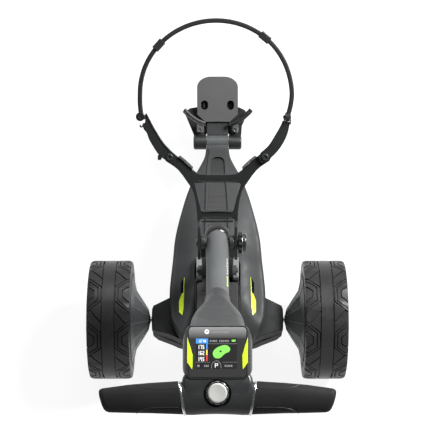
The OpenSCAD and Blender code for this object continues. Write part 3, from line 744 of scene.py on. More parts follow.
def build_front_rim():
    rim = Shape(AT_FRONT_WHEEL)
    line = ((70.0, -20.6), (71.4, -21.6), (70.6, -23.0), (66.4, -22.6), (64.6, -19.0), (63.6, 0.0),
            (64.6, 19.0), (66.4, 22.6), (70.6, 23.0), (71.4, 21.6), (70.0, 20.6))
    hub = ((13.4, -23.0), (12.4, -24.0), (6.0, -24.0), (5.1, -23.0), (5.1, 23.0), (6.0, 24.0), (12.4, 24.0),
           (13.4, 23.0), (15.0, 12.0), (15.0, -12.0))
    rim.turned(line, 96)
    rim.turned(hub, 60)
    spoke = [(-9.0, 11.0), (-5.6, 34.0), (-8.0, 65.0), (8.0, 65.0), (5.6, 34.0), (9.0, 11.0)]
    for k in range(5):
        to_wheel = Matrix.Rotation(math.radians(72 * k), 4, "X") @ AXIAL
        rim.prism(spoke, -9.0, 9.0, bevel=2.0, segments=3, local=to_wheel)
    rim.finish("front_rim_spoked", "front_wheel", "rim_grey", ("front_rim",))


# ---------------------------------------------------------------- body

# Half width and top height of the body cover at distances ahead of the axle
BODY_HALF = spline(((422, 28), (400, 31), (378, 39), (350, 52), (323, 63), (283, 76), (249, 85), (212, 94),
                    (173, 101), (120, 105), (77, 109), (45, 111), (0, 110), (-30, 104), (-58, 88), (-74, 74)))
BODY_TOP = spline(((422, 192), (395, 199), (355, 208), (300, 216), (200, 224), (60, 226), (0, 220),
                   (-50, 200), (-74, 178)))
BODY_EDGE = 9.0
BAY_HALF = 53.0
BAY_FRONT = 118.0
HOUSING_TOP = 175.9


def smooth_step(low, high, value):
    t = min(max((value - low) / (high - low), 0.0), 1.0)
    return t * t * (3.0 - 2.0 * t)


def softer_min(a, b, width):
    h = max(width - abs(a - b), 0.0) / width
    return min(a, b) - h * h * width * 0.25


def skin_height(x, y):
    """Height of the body cover's top, in the axle's frame."""
    side = abs(x)
    by_bay = 232.0 - max(side - 52.0, 0.0) * 0.583 - max(side - 100.0, 0.0) * 0.08
    ahead = 232.0 - 0.0034 * side * side
    share = smooth_step(100.0, 150.0, y)
    roof = by_bay * (1.0 - share) + ahead * share
    line = ramp(BODY_TOP, y)
    if y > 150.0:
        line = line - 0.0016 * side * side
    return softer_min(line, roof, 9.0)


def skirt_bottom(y):
    if y < 98.5:
        return HOUSING_TOP
    low = ramp(((98.5, 141.0), (250.0, 146.0), (450.0, 158.0)), y)
    if y > 376.0:
        low = max(low, 93.0 + math.sqrt(max(101.0**2 - (y - 354.7) ** 2, 0.0)))
    return low


def build_shroud():
    rings = []
    for y in [422 - 6.2 * i for i in range(79)] + [-74.0]:
        half = ramp(BODY_HALF, y)
        inner = half - BODY_EDGE
        row = [(inner * i / 14, y, skin_height(inner * i / 14, y)) for i in range(15)]
        edge_z = row[-1][2]
        low = skirt_bottom(y)
        drop = min(BODY_EDGE, edge_z - low - 1.0)
        for i in range(1, 8):
            a = math.radians(90.0 * i / 7)
            row.append((inner + BODY_EDGE * math.sin(a), y, edge_z - drop * (1.0 - math.cos(a))))
        row.append((half, y, low + 0.5 * (edge_z - drop - low)))
        row.append((half, y, low))
        rings.append(mirrored(row[1:]) + row)
    skin = Shape(GROUND)
    skin.loft(rings, caps=False, closed=False)
    obj = skin.finish("body_cover", "chassis", "cover_dark", ("shroud",), sharp=50.0,
                      weighted=False)
    wall = obj.modifiers.new("wall", "SOLIDIFY")
    wall.thickness = 3.0 * MM
    wall.offset = -1.0
    wall.use_even_offset = True
    carve(obj, bay_opening(), panel_opening(), sharp=40.0)
    weigh_normals(obj)


def bay_opening():
    """Opening over the battery, with rounded front corners."""
    r = 16.0
    corner = arc(BAY_HALF - r, BAY_FRONT - r, r, 10, 80, 7)
    right = [(BAY_HALF, -90.0), (BAY_HALF, BAY_FRONT - r)] + corner + [(BAY_HALF - r, BAY_FRONT)]
    return Shape(GROUND).prism(both_halves(right), 150.0, 300.0)


# Strip along the cover's middle and the channel in it: half widths at distances ahead of the axle
PANEL_HALF = ((418, 20.0), (394, 22.6), (355, 26.0), (300, 28.4), (148, 30.6))
PANEL_FRONT = 418.0
PANEL_BACK = 125.0
CHANNEL_FRONT = 394.0
CHANNEL_HALF = ((394, 15.0), (340, 17.5), (260, 22.6), (148, 24.6))
CHANNEL_DEPTH = 5.4
PANEL_RISE = 2.4


def panel_opening():
    """Opening in the cover under the strip."""
    ys = [PANEL_FRONT - 3.0, 394.0, 355.0, 300.0, PANEL_BACK + 3.0]
    right = [(ramp(PANEL_HALF, y) - 1.2, y) for y in ys]
    return Shape(GROUND).prism(both_halves(right), 150.0, 260.0)


def channel_half(y):
    behind = CHANNEL_FRONT - y
    if behind <= 0.0:
        return 0.02
    rounding = math.sqrt(max(1.0 - max(1.0 - behind / 13.0, 0.0) ** 2, 0.0))
    return max(ramp(CHANNEL_HALF, y) * rounding, 0.02)


def build_spine_panel():
    """Strip that runs along the cover's middle, with a sunken arched channel."""
    stations = [PANEL_FRONT - 6.0 * i for i in range(4)] + [CHANNEL_FRONT + 0.02, CHANNEL_FRONT]
    stations += [CHANNEL_FRONT - d for d in (0.05, 0.4, 1.0, 2.0, 3.4, 5.2, 7.4, 10.0, 13.0)]
    stations += [CHANNEL_FRONT - 13.0 - (CHANNEL_FRONT - 13.0 - PANEL_BACK) * i / 30 for i in range(1, 31)]
    panel = Shape(GROUND)
    rings = []
    for y in stations:
        half = ramp(PANEL_HALF, y)
        up = skin_height(0.0, y) + PANEL_RISE
        inner = channel_half(y)
        sunk = 1.0 if y <= CHANNEL_FRONT else 0.0
        floor = up - CHANNEL_DEPTH * sunk
        right = [(inner * 0.94, floor), (inner, floor + 0.8 * sunk), (inner + 0.5, up - 0.5 * sunk),
                 (inner + 1.2, up), (half - 1.4, up), (half, up - 0.9), (half + 1.4, up - 10.8)]
        rings.append([(x, y, z) for x, z in mirrored(right) + right])
    panel.loft(rings)
    panel.finish("spine_panel", "chassis", "cover_dark", sharp=30.0)


def build_channel():
    """Cross ribs in the channel, and a dark sheet on its floor that is painted shade for the recess."""
    ribs = Shape(GROUND)
    for k in range(9):
        y = 162.0 + 15.0 * k
        half = ramp(CHANNEL_HALF, y) - 2.4
        z = skin_height(0.0, y) + PANEL_RISE - CHANNEL_DEPTH
        ribs.box((-half, y - 1.1, z - 0.6), (half, y + 1.1, z + 0.7), 0.4)
    ribs.finish("spine_channel_ribs", "chassis", "cover_black")
    # painted shade: a dark sheet just above the channel's floor darkens the recess
    floor = Shape(GROUND)
    rings = []
    for i in range(31):
        y = CHANNEL_FRONT - 1.0 - (CHANNEL_FRONT - 1.0 - PANEL_BACK) * i / 30
        half = channel_half(y) * 0.96
        up = skin_height(0.0, y) + PANEL_RISE + 0.4 - CHANNEL_DEPTH
        rings.append([(-half, y, up), (half, y, up), (half, y, up - 0.6), (-half, y, up - 0.6)])
    floor.loft(rings)
    floor.finish("spine_channel_shade_sheet", "chassis", "cover_black")


# Lime flash and the slit beside it on the right of the cover, as (x, distance ahead of the axle). The slit is
# a near-black patch of painted shade.
ACCENT = ((76.4, 74.0), (77.4, 74.0), (78.4, 38.0), (82.8, 34.0), (88.4, 18.0), (88.0, -8.0), (80.6, -17.0),
          (77.8, 2.0), (77.0, 34.0))
SLIT = ((77.6, 74.0), (80.0, 72.0), (84.8, 62.0), (85.0, 40.0), (83.2, 36.0), (78.8, 40.0))


def draped_patch(shape, outline, lift, thick, side):
    """A thin patch that follows the cover's surface."""
    part = bmesh.new()
    part.faces.new([part.verts.new((side * x, y, 0.0)) for x, y in outline])
    for normal, low, count, step in (((1, 0, 0), -90, 46, 4.0), ((0, 1, 0), -20, 13, 8.0)):
        for i in range(count):
            bmesh.ops.bisect_plane(part, geom=part.verts[:] + part.edges[:] + part.faces[:],
                                   plane_co=Vector(normal) * (low + step * i), plane_no=normal)
    raised = set(thicken(part, thick))
    for v in part.verts:
        base = skin_height(v.co.x, v.co.y)
        v.co.z = base + lift if v in raised else base + lift - thick
    shape.take(part)


def build_accents():
    lime = Shape(GROUND)
    black = Shape(GROUND)
    for side in (-1, 1):
        draped_patch(lime, ACCENT, 1.1, 2.2, side)
        # painted shade: a near-black patch draped on the cover where the slit is
        draped_patch(black, SLIT, 0.35, 1.6, side)
    lime.finish("body_lime_flash", "chassis", "lime_trim", ("body_accents",))
    black.finish("body_slit_shade", "chassis", "slit_painted_shade", slot="cover_black")


def build_pivot_fairings():
    """Raised blocks on the cover, either side of the fold pin."""
    fairing = Shape(GROUND)
    outline = ((62.5, 206.0), (62.5, 244.0), (66.0, 248.0), (102.0, 248.0), (112.0, 244.0), (119.0, 234.0),
               (119.0, 206.0))
    for side in (-1, 1):
        fairing.prism(outline, 35.2, 49.0, bevel=2.0, segments=3, local=to_side(side))
    fairing.finish("pivot_fairings", "chassis", "fairing_grey", slot="plate_grey")


def build_shaft_seals():
    """Rubber seals where the shafts leave the drive housing."""
    bead = Shape(WHEELS)
    line = ((13.4, 150.0), (26.0, 150.2), (28.0, 151.6), (26.0, 152.8), (17.0, 153.4), (13.4, 152.4))
    for side in (-1, 1):
        bead.turned(line, 60, side=side)
    bead.finish("shaft_seals", "chassis", "cover_black")


# ---------------------------------------------------------------- battery

def build_battery():
    low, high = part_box("battery_lid")
    top = high.z / MM
    front = (high.y - AXLE.y) / MM
    back = (low.y - AXLE.y) / MM
    half = high.x / MM
    ribs = Shape(GROUND)
    for k in range(5):
        y = back + 60.0 + 11.0 * k
        ribs.prism(round_rect(2 * half - 26.0, 4.2, 2.0, 4, 0.0, y), top - 0.4, top + 1.1, bevel=0.5)
    ribs.finish("battery_lid_ribs", "battery", "battery_shell")
    lights = Shape(GROUND)
    for k in range(4):
        lamp = round_rect(5.0, 2.4, 1.0, 4, -12.0 + 8.0 * k, front - 9.0)
        lights.prism(lamp, top - 0.4, top + 0.5, bevel=0.2)
    lights.finish("battery_level_marks", "battery", "lime_trim")


# ---------------------------------------------------------------- folding frame

def build_stem():
    tube = Shape(STEM)
    tube.turned([(18.6, -15.0), (21.4, -15.0), (22.3, -14.2), (22.3, 60.0), (22.0, 230.0), (18.4, 231.0),
                 (18.4, 10.0)], 96, local=STEM_AXIS)
    slotted(tube, "stem_tube_shell", "stem_gunmetal", ("stem_tube",))
    cup = Shape(STEM)
    cup.turned([(21.4, -16.2), (22.8, -16.4), (23.4, -18.0), (23.6, -24.0), (23.6, -32.0), (22.4, -38.0),
                (18.5, -41.5), (10.0, -43.4), (0.001, -43.6), (0.001, -36.0), (14.0, -34.0), (20.0, -28.0),
                (21.4, -22.0)], 96, local=STEM_AXIS)
    for v in cup.mesh.verts:
        v.co.x *= 1.0 + 0.12 * smooth_step(17.0, 24.0, -v.co.z)
    slotted(cup, "stem_cup", "cover_black", ("stem_collar",))
    band = Shape(STEM)
    band.turned([(22.0, 217.0), (22.9, 217.6), (23.0, 222.0), (22.9, 229.0), (22.0, 230.0)], 96,
                local=STEM_AXIS)
    band.finish("stem_joint_band", "handle", "cover_dark")
    # painted highlight: a thin bright ring at the tube's lower end stands in for light caught along that edge
    rim = Shape(STEM)
    rim.turned([(21.2, -15.9), (22.4, -15.9), (22.7, -15.5), (22.4, -15.1), (21.2, -15.1)], 96,
               local=STEM_AXIS)
    slotted(rim, "stem_end_highlight_ring", "dial_chrome")
    stem_marks("stem_marks_white", "dial_face", 31.0, (84.0, 92.0, 100.0, 109.0, 118.0, 127.0, 137.0), 6.0)
    stem_marks("stem_marks_lime", "lime_trim", 31.0, (152.0, 161.0, 170.0, 180.0), 7.0)
    stem_marks("stem_marks_dim", "pad_rubber", 150.0, (86.0, 97.0, 108.0, 120.0, 132.0, 145.0, 158.0), 7.0)


def stem_marks(name, paint, degrees, starts, length):
    """A row of small printed bars along one side of the stem."""
    marks = Shape(STEM)
    turn = Matrix.Rotation(math.radians(degrees - 4.5), 4, "Z") @ STEM_AXIS
    for i, low in enumerate(starts):
        high = low + length * (1.0 if i % 2 else 0.8)
        marks.turned([(22.0, low), (22.45, low + 0.2), (22.45, high - 0.2), (22.0, high)], 8,
                     sweep=8.0 if i % 3 else 10.0, local=turn)
    marks.finish(name, "handle", paint)


def slotted(shape, name, paint, replaces=()):
    """A piece of the stem with room under it for the hinge head's arm."""
    obj = shape.finish(name, "handle", paint, replaces, weighted=False)
    room = Shape(STEM)
    room.box((-12.6, -40.0, -60.0), (12.6, -6.0, 40.0), 0.0)
    room.box((-12.2, -18.4, -18.4), (12.2, 18.4, 18.4), 0.0)
    carve(obj, room, overlapping=True, sharp=30.0)


def build_hinge_head():
    head = Shape(AT_HINGE)
    head.rod(17.8, -11.6, 11.6, 1.0)
    turn = Matrix.Rotation(math.radians(-104.0), 4, "X")
    arm = arc(0, 0, 13.6, 90, 270, 10) + arc(34.0, 0, 8.8, -90, 90, 10)
    head.prism(arm, -11.6, 11.6, bevel=1.2, segments=3, local=turn @ AXIAL)
    head.finish("hinge_knuckle", "hinge_head", "frame_black", ("hinge_head",))


def build_knob():
    knob = Shape(AT_HINGE)
    knob.turned(((13.6, 41.4), (14.0, 42.0), (14.0, 43.0), (16.0, 44.0), (6.2, 44.0), (6.2, 41.4)), 60)
    lobes = 12
    rings = []
    for x, scale in ((42.6, 0.86), (43.4, 0.94), (47.4, 0.97), (50.6, 0.93)):
        ring = []
        for i in range(lobes * 10):
            turn = 2 * math.pi * i / (lobes * 10)
            wave = math.cos(lobes * turn)
            radius = scale * (21.6 + 1.9 * (wave if wave > 0 else 1.2 * wave))
            ring.append(on_circle(x, radius, turn))
        rings.append(ring)
    knob.loft(rings)
    knob.finish("clamp_knob_lobed", "clamp_knob", "bracket_black", ("clamp_knob",), sharp=40.0)
    face = Shape(AT_HINGE)
    face.turned(((6.4, 48.6), (18.0, 48.6), (19.6, 49.4), (20.4, 51.0), (20.6, 55.0), (20.2, 57.6),
                (19.0, 59.0), (17.0, 59.8), (15.4, 59.6), (14.4, 58.6), (13.0, 58.2), (6.4, 58.6)), 96)
    face.finish("clamp_knob_face", "clamp_knob", "knob_dark", sharp=50.0)
    ring = Shape(AT_HINGE)
    ring.turned(((20.2, 49.6), (21.8, 50.0), (22.0, 50.5), (21.8, 51.0), (20.2, 51.4)), 96)
    ring.finish("clamp_knob_ring", "clamp_knob", "dial_chrome")


def build_hinge_bolt():
    pin = Shape(AT_HINGE)
    pin.rod(5.9, -42.4, 59.4, 0.8)
    pin.turned(((0.001, -44.0), (6.6, -44.0), (8.4, -43.0), (8.4, -41.0), (0.001, -41.0)), 60)
    pin.finish("hinge_bolt", "mid_frame", "bolt_dark", ("upper_hinge_pin",), "steel")
    washers = Shape(AT_HINGE)
    for side in (-1, 1):
        washers.turned(((6.2, 22.4), (12.6, 22.4), (13.2, 22.8), (13.2, 23.6), (6.2, 23.6)), 60, side=side)
    washers.finish("hinge_washers", "mid_frame", "pad_rubber")


def build_rails():
    length = (HINGE - FOLD).length / MM
    for name, side in SIDES:
        rail = Shape(MID)
        line = arc(0, 0, 14.4, 180, 360, 16) + [(12.2, 30.0), (12.2, length - 30.0)]
        line += arc(0, length, 16.8, -28, 208, 24) + [(-12.2, length - 30.0), (-12.2, 30.0)]
        flat = to_side(side)
        rail.prism(line, 24.0, 34.0, bevel=1.6, segments=3, local=flat)
        rail.prism(slot_outline(0.0, length / 2, 5.0, 120.0), 33.6, 34.5, bevel=0.4, local=flat)
        for at, radius in ((0.0, 9.5), (length, 11.0)):
            disc = ((radius, 33.4), (radius, 34.4), (radius - 1.0, 34.5), (radius - 2.0, 33.4))
            rail.turned(disc, 48, side=side, local=Matrix.Translation((0, 0, at)))
        heel = [(13.4, 4.0), (-13.4, 4.0), (-13.4, -27.0), (-10.4, -32.0), (8.6, -32.0), (12.0, -26.0)]
        rail.prism(heel, 24.6, 33.6, bevel=1.6, segments=3, local=MID.inverted() @ BRACKET @ flat)
        rail.finish("rail_" + name, "mid_frame", "frame_black", ("mid_rail_" + name,))


# ---------------------------------------------------------------- neck, console and handle

# Sections of the neck: centre (y, z) in the axle's frame, direction, then width, depth and corner radius
NECK = (
    (-160.0, 705.0, 142.8, 47.0, 46.4, 23.1),
    (-178.0, 722.0, 141.0, 50.0, 47.0, 23.0),
    (-196.0, 742.0, 137.0, 58.0, 47.6, 22.0),
    (-215.0, 762.0, 133.0, 72.0, 49.0, 20.0),
    (-241.0, 795.0, 130.0, 89.0, 51.0, 18.0),
    (-268.0, 830.0, 127.0, 97.0, 53.0, 16.0),
    (-294.0, 867.0, 123.5, 99.0, 56.0, 14.0),
    (-316.0, 898.0, 121.0, 101.0, 58.0, 13.0),
    (-330.0, 917.0, 120.0, 101.0, 60.0, 12.0),
)
NECK_RIDGE = 1.6


def build_neck():
    rows = spline([row[:3] for row in NECK], 5)
    sizes = spline([row[3:] for row in NECK], 5)
    neck = Shape(GROUND)
    rings = []
    for (y, z, angle), (width, depth, radius) in zip(rows, sizes):
        turn = Matrix.Translation((0.0, y, z)) @ Matrix.Rotation(math.radians(angle - 90.0), 4, "X")
        ring = []
        for x, up in round_rect(width, depth, min(radius, depth / 2 - 0.2), 8):
            # a soft ridge along the top
            ridge = NECK_RIDGE * max(0.0, 1.0 - abs(x) / (width / 2)) if up > 0 else 0.0
            ring.append(tuple(turn @ Vector((x, up + ridge, 0.0))))
        rings.append(ring)
    neck.loft(rings)
    neck.finish("stem_neck_cover", "handle", "cover_dark", ("stem_neck",), sharp=40.0,
                weighted=False)


def console_rings(rows):
    """Rounded rings of the console from (width, height, corner radius, z, middle along Y) rows."""
    return [[(x, y, z) for x, y in round_rect(width, height, radius, 7, 0.0, middle)]
            for width, height, radius, z, middle in rows]


def build_console_tub():
    tub = Shape(CONSOLE)
    tub.loft(console_rings((
        (103.0, 90.0, 8.6, -1.0, 0.0),
        (109.0, 90.4, 10.0, -4.0, -1.0),
        (115.0, 84.0, 14.0, -9.0, -3.0),
        (118.4, 76.0, 16.0, -15.0, -6.0),
        (117.0, 70.0, 18.0, -21.0, -6.5),
        (108.0, 66.0, 18.0, -28.0, -5.0),
        (92.0, 62.0, 18.0, -34.0, -3.0),
    )))
    tub.finish("console_tub", "handle", "console_black", ("console_base",), sharp=40.0,
               weighted=False)


def build_console_top():
    """Bezel, glass and the lime blades beside the glass."""
    bezel = Shape(CONSOLE)
    rings = console_rings((
        (102.6, 89.8, 8.2, -2.0, 0.0),
        (103.0, 90.0, 8.4, 0.4, 0.0),
        (102.0, 89.0, 8.0, 1.3, 0.0),
        (100.6, 87.6, 7.4, 1.5, 0.0),
        (98.6, 85.6, 6.8, 1.2, 0.0),
        (98.2, 85.2, 6.6, 0.2, 0.0),
        (98.2, 85.2, 6.6, -2.0, 0.0),
    ))
    bezel.loft(rings + [rings[0]], caps=False)
    bezel.finish("console_bezel_ring", "handle", "console_black", ("console_bezel",))
    glass = Shape(CONSOLE)
    glass.loft(console_rings((
        (97.6, 84.6, 6.4, -0.4, 0.0),
        (97.6, 84.6, 6.4, 1.0, 0.0),
        (97.0, 84.0, 6.1, 1.45, 0.0),
        (96.0, 83.0, 5.6, 1.6, 0.0),
    )))
    glass.finish("console_glass", "handle", "screen_glass", ("screen_glass", "display_module"))
    accents = Shape(CONSOLE)
    blade = [(51.3, 26.0), (51.3, -17.0), (43.4, -28.4), (42.4, -27.6), (41.8, -5.4), (45.6, 8.0)]
    for side in (-1, 1):
        accents.prism(blade, 1.2, 2.3, side=side, bevel=0.35)
    accents.finish("console_lime_blades", "handle", "lime_trim", ("console_accents",))


GRIP_Y = -79.0
GRIP_Z = -14.0
GRIP_START = 62.6
GRIP_END = 192.0
# Power of the superellipse that the handle's sections follow
FULLNESS = 2.3


def handle_point(side, x, shift, half_y, half_z, slant, turn):
    """A point of the handle's section at x. slant leans the section along X over its depth."""
    c = math.cos(turn)
    s = math.sin(turn)
    y = half_y * math.copysign(abs(c) ** (2 / FULLNESS), c)
    z = half_z * math.copysign(abs(s) ** (2 / FULLNESS), s)
    return side * (x + slant * y), GRIP_Y + shift + y, GRIP_Z + z


def handle_ring(side, x, shift, half_y, half_z, slant, count=64):
    turns = [2 * math.pi * i / count for i in range(count)]
    return [handle_point(side, x, shift, half_y, half_z, slant, turn) for turn in turns]


def build_handle():
    """Centre of the handle: a waisted bar and the bridge that joins it to the console."""
    core = Shape(CONSOLE)
    core_rings = []
    for i in range(25):
        x = -58.0 + 116.0 * i / 24
        middle = 1.0 - min(abs(x) / 44.0, 1.0) ** 2
        slant = 0.17 * x / 58.0
        core_rings.append(handle_ring(1, x, 0.5 - 1.6 * middle, 28.2 - 3.2 * middle,
                                      17.4 + 1.0 * middle, slant, 40))
    core.loft(core_rings)
    bridge = []
    for y, half, top, low in ((-36.0, 55.0, -3.0, -30.0), (-42.0, 58.6, -2.0, -32.0),
                              (-47.0, 60.0, 0.4, -32.0), (-54.0, 60.4, 1.4, -32.0),
                              (-66.0, 58.0, 2.6, -30.0), (-78.0, 54.6, 3.0, -28.0)):
        bridge.append([(x, y, z) for x, z in round_rect(2 * half, top - low, 7.0, 6, 0.0, (top + low) / 2)])
    core.loft(bridge)
    obj = core.finish("handle_centre", "handle", "console_black", ("handle_core",),
                      sharp=40.0, weighted=False)
    well = Shape(DIAL_FRAME)
    well.prism(arc(0.0, -1.6, 23.4, 0, 354, 59), -7.0, 30.0)
    carve(obj, well, overlapping=True, sharp=35.0)


def grip_profile(share):
    """Half depth, half height, shift and slant of a grip at a share of its length."""
    half_y = ramp(((0.0, 28.2), (0.12, 27.4), (0.4, 25.7), (0.68, 23.8), (1.0, 20.2)), share)
    half_z = ramp(((0.0, 18.0), (0.3, 17.0), (0.6, 16.6), (1.0, 13.6)), share)
    shift = ramp(((0.0, 1.6), (0.4, 1.1), (0.68, -0.3), (1.0, -2.9)), share)
    slant = ramp(((0.0, 0.17), (0.5, 0.05), (0.8, 0.16), (1.0, 0.3)), share)
    return half_y, half_z, shift, slant


def build_grip(name, side):
    grip = Shape(CONSOLE)
    steps = 56
    rows = [(i / steps, 0.0, 1.0) for i in range(steps)] + [(1.0, 0.0, 0.97)]
    # the rounded end
    rows += [(1.0, 3.0, 0.9), (1.0, 5.2, 0.74), (1.0, 6.4, 0.45)]
    rings = []
    for share, beyond, grow in rows:
        half_y, half_z, shift, slant = grip_profile(share)
        x = GRIP_START + (GRIP_END - GRIP_START) * share + beyond
        rings.append(handle_ring(side, x, shift, half_y * grow, half_z * grow, slant))
    grip.loft(rings)
    obj = grip.finish("soft_grip_" + name, "handle", "grip_rubber", ("grip_" + name,), sharp=50.0,
                      weighted=False)


def build_grip_trim(name, side):
    """Seams of the over-moulding and the bright ring at the grip's inner end."""
    seam = Shape(CONSOLE)
    for path in grip_seams():
        seam.tube([surface_of_grip(side, x, angle) for x, angle in path], 0.8, 8)
    seam.finish("grip_seam_" + name, "handle", "cover_black", weighted=False)
    trim = Shape(CONSOLE)
    rows = ((58.6, -0.6), (58.8, 0.5), (59.6, 0.9), (61.2, 0.9), (62.2, 0.4), (62.6, -0.8))
    trim.loft([handle_ring(side, x, 0.0, 28.6 + grow, 18.0 + grow, 0.17) for x, grow in rows])
    replaced = ("handle_trims",) if side < 0 else ()
    trim.finish("handle_trim_" + name, "handle", "bright_trim", replaced)


def grip_seams():
    """Seam lines of the over-moulding, as (x, angle round the grip) from the front edge over the top."""
    front = spline(((140.0, 8.0), (133.0, 30.0), (124.0, 46.0), (110.0, 53.0), (86.0, 55.0), (68.0, 55.0)), 5)
    back = spline(((139.0, 172.0), (134.0, 150.0), (127.0, 134.0), (114.0, 124.0), (90.0, 120.0),
                  (68.0, 119.0)), 5)
    return front, back


def surface_of_grip(side, x, angle):
    half_y, half_z, shift, slant = grip_profile((x - GRIP_START) / (GRIP_END - GRIP_START))
    return handle_point(side, x, shift, half_y, half_z, slant, math.radians(angle))


def build_dial():
    ring = Shape(DIAL_FRAME)
    count = 120
    rows = []
    for z, scale, depth in ((-6.6, 0.93, 0.0), (3.4, 0.94, 1.0), (4.6, 0.92, 1.0), (5.2, 0.89, 0.5)):
        row = []
        for i in range(count):
            turn = 2 * math.pi * i / count
            notch = max(0.0, math.cos(10 * turn)) ** 6
            radius = 23.0 * scale - 1.5 * notch * depth - 1.6
            row.append((radius * math.cos(turn), radius * math.sin(turn), z))
        rows.append(row)
    for z in (5.4, -6.6):
        turns = [2 * math.pi * i / count for i in range(count)]
        rows.append([(17.2 * math.cos(turn), 17.2 * math.sin(turn), z) for turn in turns])
    ring.loft(rows + [rows[0]], caps=False)
    ring.finish("dial_notched_ring", "dial", "dial_chrome", ("dial_ring",), sharp=36.0)
    cap = Shape(DIAL_FRAME)
    line = ((0.001, -2.4), (16.4, -2.4), (16.7, 4.0), (16.5, 7.0), (15.6, 8.6), (14.0, 9.2), (11.0, 9.0),
            (6.0, 8.7), (0.001, 8.6))
    cap.turned(line, 96, local=STEM_AXIS)
    cap.finish("dial_cap_face", "dial_button", "dial_face", ("dial_cap",), sharp=24.0)


# ---------------------------------------------------------------- upper bag support

# Right half of the yoke's outline and the whole of its window, as (x, height along the bracket)
BRACKET_RIGHT = ((30.0, 50.5), (34.8, 50.0), (35.4, 40.0), (41.4, 40.0), (42.4, 66.0), (45.0, 86.0),
                 (49.6, 105.0), (55.0, 116.0), (63.0, 127.5), (71.0, 139.0), (79.5, 149.6),
                 (88.0, 157.0), (98.0, 163.6), (105.0, 168.0), (109.2, 175.0), (107.0, 184.0),
                 (99.0, 188.6), (90.0, 184.6), (81.0, 177.6), (70.0, 168.6), (60.0, 159.6),
                 (50.0, 150.4), (43.0, 145.0), (36.0, 142.2), (20.0, 141.0))
WINDOW = ((-46.0, 123.4), (-45.0, 121.0), (-39.0, 94.0), (-32.6, 68.0), (-31.0, 67.0), (31.0, 67.0),
          (32.6, 68.0), (38.6, 94.0), (45.4, 114.0), (47.0, 119.0), (46.6, 122.4), (43.6, 124.0),
          (20.0, 125.4), (-20.0, 125.4))
# Side cheek of the hinge, as (across, along the bracket)
CHEEK = ((5.0, 46.0), (-5.0, 46.0), (-13.6, 34.0), (-16.0, 12.0), (-16.0, -26.0), (-12.0, -33.0),
         (10.0, -33.0), (14.0, -28.0), (16.0, 0.0), (14.0, 32.0))


def build_bracket():
    plate = Shape(BRACKET)
    plate.prism(both_halves(BRACKET_RIGHT), -5.0, 5.0, holes=(WINDOW,), bevel=1.7, segments=3, angle=40.0,
                local=UPRIGHT)
    for side in (-1, 1):
        plate.prism(CHEEK, 34.6, 40.6, bevel=1.1, segments=3, local=to_side(side))
    for low, rise in ((52.6, 0.9), (64.2, 1.6)):
        lip = [(x, -5.4, low + rise * (1.0 - (x / 31.0) ** 2) * 0.6) for x in (-30.0, -20.0, 0.0, 20.0, 30.0)]
        plate.tube(lip, 1.7, 12, up=(0, 1, 0))
    sill = spline(((-40.0, 127.4), (-20.0, 126.6), (0.0, 126.2), (20.0, 126.6), (40.0, 127.4)), 4)
    plate.tube([(x, -5.2, z) for x, z in sill], 1.3, 12, up=(0, 1, 0))
    plate.finish("bracket_yoke", "bag_bracket", "bracket_black", ("bag_bracket",),
                 sharp=30.0)
    pin = Shape(BRACKET)
    pin.rod(2.7, -32.0, 32.0, 0.6, local=Matrix.Translation((0.0, -2.4, 45.6)))
    pin.finish("bracket_cross_pin", "bag_bracket", "knob_dark")


# Distance from the middle at which the strap meets each arm's pin, and the pins' place on the bracket
STRAP_FOOT = {"left": 155.0, "right": 141.0}
STRAP_PLANE = -12.0
SWING_HEIGHT = 258.0
# Outlines of the two curved arms, as (distance from the middle, height along the bracket)
ARM_LINES = {
    "right": (((88.0, 166.0), (97.0, 166.4), (108.1, 175.1), (121.6, 188.6), (133.3, 205.5), (141.7, 224.1),
               (145.8, 242.6), (145.6, 247.8)),
              ((131.4, 250.1), (129.4, 242.6), (115.6, 218.2), (103.0, 198.8), (87.0, 184.4), (84.0, 175.0))),
    "left": (((86.2, 161.3), (98.0, 166.6), (109.8, 173.6), (119.0, 181.9), (126.0, 191.3), (138.4, 212.3),
              (143.3, 225.7), (149.0, 233.0), (151.4, 241.0), (151.0, 245.6), (146.8, 247.0), (146.2, 262.0),
              (145.0, 266.0)),
             ((143.1, 264.4), (138.1, 254.3), (126.5, 232.5), (109.7, 205.5), (96.3, 191.2), (84.1, 180.6))),
}


def strap_pin(name, side):
    """Puts a piece turned about X on the pin that the strap swings on."""
    at = Matrix.Translation((side * STRAP_FOOT[name], STRAP_PLANE, SWING_HEIGHT))
    return at @ Matrix.Diagonal((side, 1, 1, 1))


def build_arm(name, side):
    outer, inner = ARM_LINES[name]
    arm = Shape(BRACKET)
    outline = [(side * x, z) for x, z in spline(outer, 4) + spline(inner, 4)]
    arm.prism(outline, -12.0, -5.4, bevel=1.4, segments=3, angle=40.0, local=UPRIGHT)
    edge = spline([(side * (x + 1.0), -11.8, z) for x, z in inner[:5]], 4)
    arm.tube(edge, 1.7, 12, up=(0, 1, 0))
    foot = STRAP_FOOT[name]
    pin = strap_pin(name, side)
    arm.rod(2.9, -8.4, 6.6, 0.6, local=pin)
    if side < 0:
        arm.rod(5.0, -8.6, -4.8, 0.8, local=pin)
        hook = ((-149.6, -12.4, 243.6), (-152.4, -13.0, 238.4), (-155.6, -13.0, 238.8),
                (-156.4, -12.4, 242.6))
        arm.tube(spline(hook, 5), 1.6, 10, up=(0, 1, 0))
        barb = [(-112.6, 174.6), (-115.8, 170.4), (-121.6, 171.4), (-121.0, 180.8), (-117.0, 182.4)]
        arm.prism(barb, -11.4, -6.0, bevel=0.8, local=UPRIGHT)
    else:
        for x in (-7.4, 4.8):
            arm.rod(4.4, x, x + 2.6, 0.5, local=pin)
            low = foot + x
            high = low + 2.6
            lug = [(low, 243.0), (high, 243.0), (high, SWING_HEIGHT), (low, SWING_HEIGHT)]
            arm.prism(lug, -15.4, -8.6, bevel=0.4, local=UPRIGHT)
    arm.finish("bracket_arm_shape_" + name, "bag_bracket", "bracket_black", ("bracket_arm_" + name,),
               sharp=30.0)


